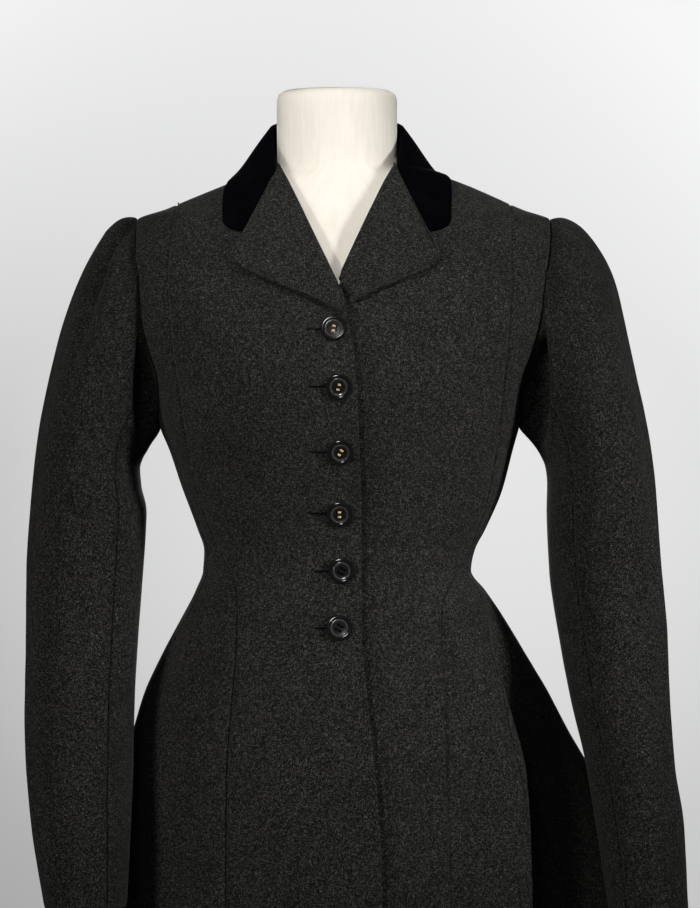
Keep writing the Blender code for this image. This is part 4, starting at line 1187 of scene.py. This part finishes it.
def makeForm():
    curves = tableCurves(formTable)
    low, high = formTable["height"][0], formTable["height"][-1]
    caps, rows, across = formPlan["capRings"], formPlan["rows"], formPlan["around"]
    rings = [formRing(curves, low, count / caps) for count in range(caps)]
    rings += [formRing(curves, mix(low, high, count / rows), 1.0) for count in range(rows + 1)]
    rings += [formRing(curves, high, count / caps) for count in range(caps - 1, -1, -1)]
    lengths = runningLengths([ring[0] for ring in rings])
    mesh, _ = gridMesh(
        len(rings) - 1, across, lambda column, row: toMetres(rings[row][column]),
        lambda column, row: (formPlan["clothWidth"] * column / across, lengths[row] * 0.001))
    bmesh.ops.remove_doubles(mesh, verts=mesh.verts[:], dist=0.00001)
    bmesh.ops.dissolve_degenerate(mesh, edges=mesh.edges[:], dist=0.000005)
    bmesh.ops.recalc_face_normals(mesh, faces=mesh.faces[:])
    piece = finishPiece("form_cloth", mesh, [looks["formCloth"]], 60.0)
    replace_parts(piece, "form")


makeForm()
print("form made")


# Round pieces: a profile of radius and height in mm, spun about its axis.
def spunMesh(profile, steps):
    mesh = bmesh.new()
    verts = [mesh.verts.new((radius * 0.001, 0.0, height * 0.001)) for radius, height in profile]
    edges = [mesh.edges.new(pair) for pair in zip(verts, verts[1:])]
    bmesh.ops.spin(mesh, geom=verts + edges, cent=(0, 0, 0), axis=(0, 0, 1), steps=steps,
                   angle=2 * math.pi, use_merge=True)
    bmesh.ops.remove_doubles(mesh, verts=mesh.verts[:], dist=1e-7)
    bmesh.ops.recalc_face_normals(mesh, faces=mesh.faces[:])
    return mesh


standSizes = {"base": 165, "height": 22, "pole": 13, "plate": 42, "gap": 0.3, "collarLow": 380,
              "collarHigh": 412}


def makeStand():
    base, height, gap = standSizes["base"], standSizes["height"], standSizes["gap"]
    pole, plate = standSizes["pole"], standSizes["plate"]
    low, high = standSizes["collarLow"], standSizes["collarHigh"]
    foot, top = height + gap, waistHeight + formTable["height"][0] - gap
    profiles = {
        "base": [(0, 0), (base - 4, 0), (base - 1.2, 1.2), (base, 4), (base, height - 10),
                 (base - 1.2, height - 7.2), (base - 4, height - 6), (40, height), (0, height)],
        "pole": [(0, foot), (24, foot), (24, foot + 13), (23, foot + 14), (pole + 1, foot + 19),
                 (pole, foot + 20), (pole, low), (pole + 3, low + 2), (pole + 3, high),
                 (pole, high + 2), (pole, top - 14), (pole + 6, top - 6), (plate, top - 6),
                 (plate, top), (0, top)],
    }
    for node, steps in (("base", 96), ("pole", 64)):
        mesh = spunMesh(profiles[node], steps)
        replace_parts(finishPiece(f"{node}_painted", mesh, [looks["stand"]], 35.0), node)


makeStand()
print("stand made")


# Buttons: four holes, a dished middle and a raised rim with fine turned lines.
buttonTable = {
    "x": [-2.5, 1.8, 3.5, 2.6, 4.3, 2.2],
    "z": [210.5, 160.5, 104.8, 51.5, 2.0, -47.5],
    "seat": [-0.44, -0.37, 0.0, 0.38, 0.71, 0.32],
    "turn": [-6, -13, -31, 0, -30, -30],
    "tipX": [0, 0, 0, 0, 3, 0],
    "tipY": [0, 0, 0, 0, 0, 3],
    "thread": ["buttonThread"] * 4 + ["holeThread"] * 2,
    "slit": [-22.6, -24.9, -27.0, -26.5, -22.8, -20.0],
    "drop": [-0.6, 0.4, 0.0, 0.5, -0.8, 0.2],
}
buttonPlaces = [dict(zip(buttonTable, values)) for values in zip(*buttonTable.values())]
buttonSizes = {"holeRadius": 1.12, "holeSpread": 2.1, "threadRadius": 0.46, "threadApart": 0.42,
               "ringFrom": 6.05, "ringTo": 7.75, "ringAbove": 1.5}
buttonProfile = [
    (0, 0.25), (5.6, 0.25), (9.4, 0.55), (10.6, 1.05), (11.05, 1.55), (11.2, 2.05), (11.14, 2.4),
    (10.96, 2.74), (10.66, 3.06), (10.24, 3.34), (9.7, 3.53), (9.1, 3.6), (8.6, 3.5), (8.2, 3.27),
    (7.9, 2.98), (7.72, 2.74), (7.5, 2.86), (7.25, 2.96), (6.98, 2.96), (6.7, 2.84), (6.4, 2.62),
    (6.05, 2.4), (5.6, 2.2), (5.0, 2.06), (4.2, 1.97), (3.2, 1.92), (1.6, 1.9), (0, 1.9),
]


def seatMatrix(place):
    angle = angleAt(place["x"], place["z"])
    normal = bodyNormal(angle, place["z"])
    turned = Matrix.Identity(4)
    for key, axis in (("tipX", "X"), ("tipY", "Y"), ("turn", "Z")):
        turned = turned @ Matrix.Rotation(math.radians(place[key]), 4, axis)
    seat = toMetres(bodyPoint(angle, place["z"]) + normal * place["seat"])
    return Matrix.Translation(seat) @ normal.to_track_quat("Z", "Y").to_matrix().to_4x4() @ turned


def drilledBlank():  # a turned blank with four holes cut through it
    drills, spread = bmesh.new(), buttonSizes["holeSpread"] * 0.001
    radius = buttonSizes["holeRadius"] * 0.001
    for x, y in ((spread, spread), (-spread, spread), (-spread, -spread), (spread, -spread)):
        hole = bmesh.ops.create_cone(drills, cap_ends=True, segments=20, radius1=radius, radius2=radius,
                                     depth=0.012)
        bmesh.ops.translate(drills, verts=hole["verts"], vec=(x, y, 0))
    blank = addObject("blank", meshData("blank", spunMesh(buttonProfile, 72)))
    drill = addObject("drills", meshData("drills", drills))
    cut = blank.modifiers.new("holes", "BOOLEAN")
    cut.operation = "DIFFERENCE"
    cut.solver = "EXACT"
    cut.object = drill
    drilled = bmesh.new()
    drilled.from_object(blank, bpy.context.evaluated_depsgraph_get())
    for item in (blank, drill):
        bpy.data.objects.remove(item, do_unlink=True)
    return drilled


def makeButtons():
    for number, place in enumerate(buttonPlaces, start=1):
        button = drilledBlank()
        for face in button.faces:
            centre = face.calc_center_median() * 1000
            reach = math.hypot(centre.x, centre.y)
            # faces of the raised ring take the lighter colour of painted sheen, faces inside it take the dish
            # colour
            if centre.z > buttonSizes["ringAbove"] and reach < buttonSizes["ringTo"]:
                face.material_index = 1 if reach > buttonSizes["ringFrom"] else 2
        bmesh.ops.transform(button, matrix=seatMatrix(place), verts=button.verts[:])
        piece = finishPiece(f"button_{number}_turned", button,
                            [looks["button"], looks["buttonRingPaintedSheen"], looks["buttonDish"]], 40.0)
        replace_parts(piece, f"button_{number}")


def addThread(mesh, points, radius, sides=8):  # a round strand through a list of points
    rings = []
    for index, point in enumerate(points):
        before, after = points[max(index - 1, 0)], points[min(index + 1, len(points) - 1)]
        facing = (after - before).normalized().to_track_quat("Z", "X").to_matrix().to_4x4()
        atEnd = index in (0, len(points) - 1)
        ring = bmesh.ops.create_circle(mesh, cap_ends=atEnd, segments=sides,
                                       radius=radius * (0.55 if atEnd else 1.0),
                                       matrix=Matrix.Translation(point) @ facing)
        rings.append(ring["verts"])
    edges = [[e for e in {e for v in ring for e in v.link_edges}
              if e.verts[0] in ring and e.verts[1] in ring] for ring in rings]
    for low, high in zip(edges, edges[1:]):
        bmesh.ops.bridge_loops(mesh, edges=low + high)


threadPath = [(-1.25, 1.0), (-1.15, 1.62), (-0.85, 2.15), (-0.4, 2.45), (0, 2.52), (0.4, 2.45),
              (0.85, 2.15), (1.15, 1.62), (1.25, 1.0)]


def makeButtonThreads(kind):
    mesh, apart = bmesh.new(), buttonSizes["threadApart"]
    for place in buttonPlaces:
        if place["thread"] != kind:
            continue
        matrix = seatMatrix(place)
        for side in (-1, 1):
            for shift in (-apart, apart):
                y = side * buttonSizes["holeSpread"] + shift
                line = [matrix @ Vector((x * 0.001, y * 0.001, z * 0.001)) for x, z in threadPath]
                addThread(mesh, line, buttonSizes["threadRadius"] * 0.001)
    bmesh.ops.recalc_face_normals(mesh, faces=mesh.faces[:])
    finishPiece(f"button_threads_{kind}", mesh, [looks[kind]])


# Buttonholes: a slit from under the button, edged with close thread stitches, with a dark sheet laid along it
# as painted shade of the open cut.
holeSizes = {"end": -3.0, "half": 0.42, "stitch": 0.7, "threadRadius": 0.24, "lift": 0.12,
             "barSteps": 8, "uneven": 0.2}


def addHoleStitch(mesh, stops):
    points = [toMetres(onFront(x, z, holeSizes["lift"] + rise)) for x, z, rise in stops]
    addThread(mesh, points, holeSizes["threadRadius"] * 0.001, 6)


def makeButtonholes():
    edging, slits = bmesh.new(), bmesh.new()
    end, half = holeSizes["end"], holeSizes["half"]
    for number, place in enumerate(buttonPlaces):
        left, drop = place["slit"], place["drop"]
        count = int((end - left) / holeSizes["stitch"])
        for side in (-1, 1):
            for step in range(count + 1):
                share = step / count
                x = place["x"] + mix(left, end, share) + 0.15 * side
                z = place["z"] + drop * (1 - share)
                outer = half + 0.55 + holeSizes["uneven"] * math.sin(step * 2.1 + number * 1.7 + side)
                addHoleStitch(edging, [(x, z + side * reach, rise) for reach, rise in (
                    (0.1, 0.02), (0.45, 0.22), (outer, -0.05))])
        for step in range(holeSizes["barSteps"] + 1):  # a bar of stitches round the far end
            swing = math.pi * (0.5 + step / holeSizes["barSteps"])
            x, z = place["x"] + left, place["z"] + drop
            addHoleStitch(edging, [(x + reach * math.cos(swing), z + reach * math.sin(swing), rise)
                                   for reach, rise in ((0.2, 0.02), (0.7, 0.25), (1.2, -0.05))])
        # a thin dark sheet in the thread's colour along each slit: painted shade of the open cut
        grid = bmesh.ops.create_grid(slits, x_segments=24, y_segments=1, size=0.5)
        for vert in grid["verts"]:
            share, height = vert.co.x + 0.5, vert.co.y * 2 * half
            x = place["x"] + mix(left, end, share)
            vert.co = toMetres(onFront(x, place["z"] + drop * (1 - share) + height, 0.14))
    bmesh.ops.recalc_face_normals(edging, faces=edging.faces[:])
    finishPiece("buttonhole_stitches", edging, [looks["holeThread"]])
    slitShadeSheet = finishPiece("buttonhole_slit_shade", slits, [looks["holeThread"]])
    solid = slitShadeSheet.modifiers.new("wall", "SOLIDIFY")
    solid.thickness = 0.0002
    solid.offset = 0.0


makeButtons()
makeButtonThreads("buttonThread")
makeButtonThreads("holeThread")
makeButtonholes()
print("buttons made")


# Edge stitching: short threads in a row beside the right front's edge and the lapels' edges.
stitchSizes = {"length": 2.1, "pitch": 3.0, "radius": 0.22, "inset": 2.1, "lift": 0.02,
               "edge": (-333.0, 224.0), "lapelEnd": 0.985, "gorgeKey": 0.16, "gorge": (0.55, 0.97)}


def stitchRow(mesh, points):
    lengths = runningLengths(points)
    count = int(lengths[-1] / stitchSizes["pitch"])
    index = 0
    for number in range(count):
        centre = (number + 0.5) * stitchSizes["pitch"]
        while index < len(lengths) - 2 and lengths[index + 1] < centre:
            index += 1
        first, second = points[index], points[index + 1]
        share = (centre - lengths[index]) / max(1e-6, lengths[index + 1] - lengths[index])
        direction = (second - first).normalized()
        turn = direction.to_track_quat("X", "Z").to_matrix().to_4x4()
        scale = Matrix.Diagonal((stitchSizes["length"] / 2, stitchSizes["radius"], stitchSizes["radius"], 1))
        place = Matrix.Translation(toMetres(mix(first, second, share)))
        matrix = place @ turn @ Matrix.Scale(0.001, 4) @ scale
        bmesh.ops.create_icosphere(mesh, subdivisions=1, radius=1.0, matrix=matrix)


def makeStitching():
    mesh = bmesh.new()
    inset, lift = stitchSizes["inset"], stitchSizes["lift"]
    line = []
    for count in range(240):
        z = mix(*stitchSizes["edge"], count / 239)
        line.append(onFront(seams["frontEdge"]["right"](z) - inset, z, lift))
    stitchRow(mesh, line)
    for side in ("right", "left"):
        curves, lastKey = lapelCurves(side)
        long = []
        for count in range(90):
            key = mix(0.0, lastKey * stitchSizes["lapelEnd"], count / 89)
            width = (lapelPoint(side, curves, key, 0) - lapelPoint(side, curves, key, 1)).length
            share = 1 - min(0.5, inset / max(width, 1))
            normal = bodyNormal(angleAt(long[-1].x, long[-1].z) if long else 0, 250)
            long.append(lapelPoint(side, curves, key, share) + normal * lift)
        stitchRow(mesh, long)
        short = []
        for count in range(24):
            share = mix(*stitchSizes["gorge"], count / 23)
            short.append(lapelPoint(side, curves, stitchSizes["gorgeKey"], share))
        stitchRow(mesh, short)
    finishPiece("edge_stitching", mesh, [looks["woolThread"]])


makeStitching()
print("stitching made")


# Studio: a pale floor and room, narrow lights from both sides, small ones on chest and neck, and
# one that only shines in the buttons.
studio = {
    "distance": 3.2, "x": 0.0116, "z": 1.0632, "frameHeight": 0.80812, "sensor": 36.0,
    "roomLight": 0.061, "floorGlow": 0.55,
    "lights": [
        {"name": "leftLight", "place": (-2.45, -2.5, 1.65), "aim": (0.05, 0, 0.95), "size": 1.0,
         "spread": 19, "power": 1.62, "tint": (1.0, 0.985, 0.96)},
        {"name": "rightLight", "place": (3.1, -1.75, 1.7), "aim": (-0.03, 0, 0.97), "size": 0.6,
         "spread": 18, "power": 1.68, "tint": (0.99, 0.99, 1.0)},
        {"name": "chestLight", "place": (-0.45, -2.6, 2.85), "aim": (0.0, 0, 1.25), "size": 0.3,
         "spread": 11, "power": 0.17},
        {"name": "glintLight", "place": (-0.7, -2.1, 3.2), "aim": (0.0, 0, 1.0), "size": 1.0,
         "spread": 40, "power": 2.2, "diffuse": False, "glint": True},
        {"name": "neckLight", "place": (-0.5, -2.95, 1.7), "aim": (0.0, 0, 1.465), "size": 0.3,
         "spread": 9, "power": 0.13},
        {"name": "backLight", "place": (0.0, 3.1, 1.6), "aim": (0.0, 0, 1.0), "size": 1.5,
         "spread": 160, "power": 60.0, "glint": True},
    ],
    "wall": {"widest": 0.13, "rise": 1.45, "lean": 0.85, "base": 0.665, "darkest": 0.36, "palest": 0.93,
             "glow": 0.13, "glowReach": 0.012, "glowDrop": 0.04, "cornerPull": 75.0, "cornerShift": -3.6},
    "floor": {"radius": 4.0, "dark": (0.77, 0.77, 0.78), "middle": (0.80, 0.80, 0.81),
              "light": (0.83, 0.83, 0.84), "speckleScale": 60.0, "drop": 0.0005},
}


def makeCamera():
    camera = bpy.data.cameras.new("photoCamera")
    camera.sensor_fit = "VERTICAL"
    camera.sensor_height = studio["sensor"]
    camera.lens = studio["sensor"] * studio["distance"] / studio["frameHeight"]
    item = addObject("photoCamera", camera)
    item.location = (studio["x"], -studio["distance"], studio["z"])
    item.rotation_euler = (math.pi / 2, 0, 0)
    bpy.context.scene.camera = item
    bpy.context.scene.view_settings.view_transform = "Standard"


def makeLights():
    for plan in studio["lights"]:
        light = bpy.data.lights.new(plan["name"], "AREA")
        light.shape = "DISK"
        light.size = plan["size"]
        light.energy = plan["power"]
        light.color = plan.get("tint", (1.0, 1.0, 1.0))
        light.spread = math.radians(plan["spread"])
        item = addObject(plan["name"], light)
        item.location = plan["place"]
        facing = Vector(plan["aim"]) - Vector(plan["place"])
        item.rotation_euler = facing.to_track_quat("-Z", "Y").to_euler()
        item.visible_diffuse = plan.get("diffuse", True)
        item.visible_glossy = plan.get("glint", False)


def makeRoom():  # the background is paler than the room's own light, as in the photo
    world = bpy.data.worlds.new("paleRoom")
    world.use_nodes = True
    tree, wall = world.node_tree, studio["wall"]
    tree.nodes.clear()

    def plus(first, second):
        return combine(tree, "ADD", first, second)

    def times(first, second):
        return combine(tree, "MULTIPLY", first, second)

    # The backdrop seen by the camera is painted with light: paler towards the top and the right and in the
    # top corners, darker low down, with a painted glow just below the middle.
    split = addNode(tree, "ShaderNodeSeparateXYZ", inputs={0: placesOf(tree, "Generated")})
    x, z = split.outputs["X"], split.outputs["Z"]
    sideways = combine(tree, "MAXIMUM", combine(tree, "MINIMUM", x, wall["widest"]), -wall["widest"])
    slope = plus(times(z, wall["rise"]), times(sideways, wall["lean"]))
    corner = times(times(plus(times(sideways, wall["cornerPull"]), wall["cornerShift"]), sideways),
                   combine(tree, "MAXIMUM", z, 0.0))
    lower = plus(z, wall["glowDrop"])
    glow = addNode(tree, "ShaderNodeMapRange", inputs={
        "Value": plus(times(x, x), times(lower, lower)), "From Max": wall["glowReach"],
        "To Min": wall["glow"], "To Max": 0.0}).outputs[0]
    level = addNode(tree, "ShaderNodeClamp", inputs={
        "Value": plus(plus(plus(slope, corner), wall["base"]), glow),
        "Min": wall["darkest"], "Max": wall["palest"]}).outputs[0]
    shown = addNode(tree, "ShaderNodeBackground", inputs={"Color": (0.995, 0.998, 1.0, 1), "Strength": level})
    lit = addNode(tree, "ShaderNodeBackground", inputs={
        "Color": (0.96, 0.97, 1.0, 1), "Strength": studio["roomLight"]})
    chooser = addNode(tree, "ShaderNodeMixShader", inputs={
        0: addNode(tree, "ShaderNodeLightPath").outputs["Is Camera Ray"],
        1: lit.outputs[0], 2: shown.outputs[0]})
    addNode(tree, "ShaderNodeOutputWorld", inputs={"Surface": chooser.outputs[0]})
    bpy.context.scene.world = world


def makeFloor():
    mesh, look = bmesh.new(), studio["floor"]
    bmesh.ops.create_circle(mesh, cap_ends=True, segments=96, radius=look["radius"])
    data = meshData("floor", mesh)
    material, tree, shader = newMaterial("floorPaint", look["middle"], 0.7, **{
        "Emission Color": (*look["middle"], 1.0), "Emission Strength": studio["floorGlow"]})
    speckle = noiseOf(tree, placesOf(tree, "Object"), look["speckleScale"], 4.0, 0.6)
    shaded(tree, shader, speckle, [(0.3, look["dark"]), (0.7, look["light"])])
    data.materials.append(material)
    floor = addObject("floor", data)
    floor.location = (0, 0, -look["drop"])
    floor.visible_diffuse = False
    floor.visible_glossy = False


makeCamera()
makeLights()
makeRoom()
makeFloor()
print("studio made")
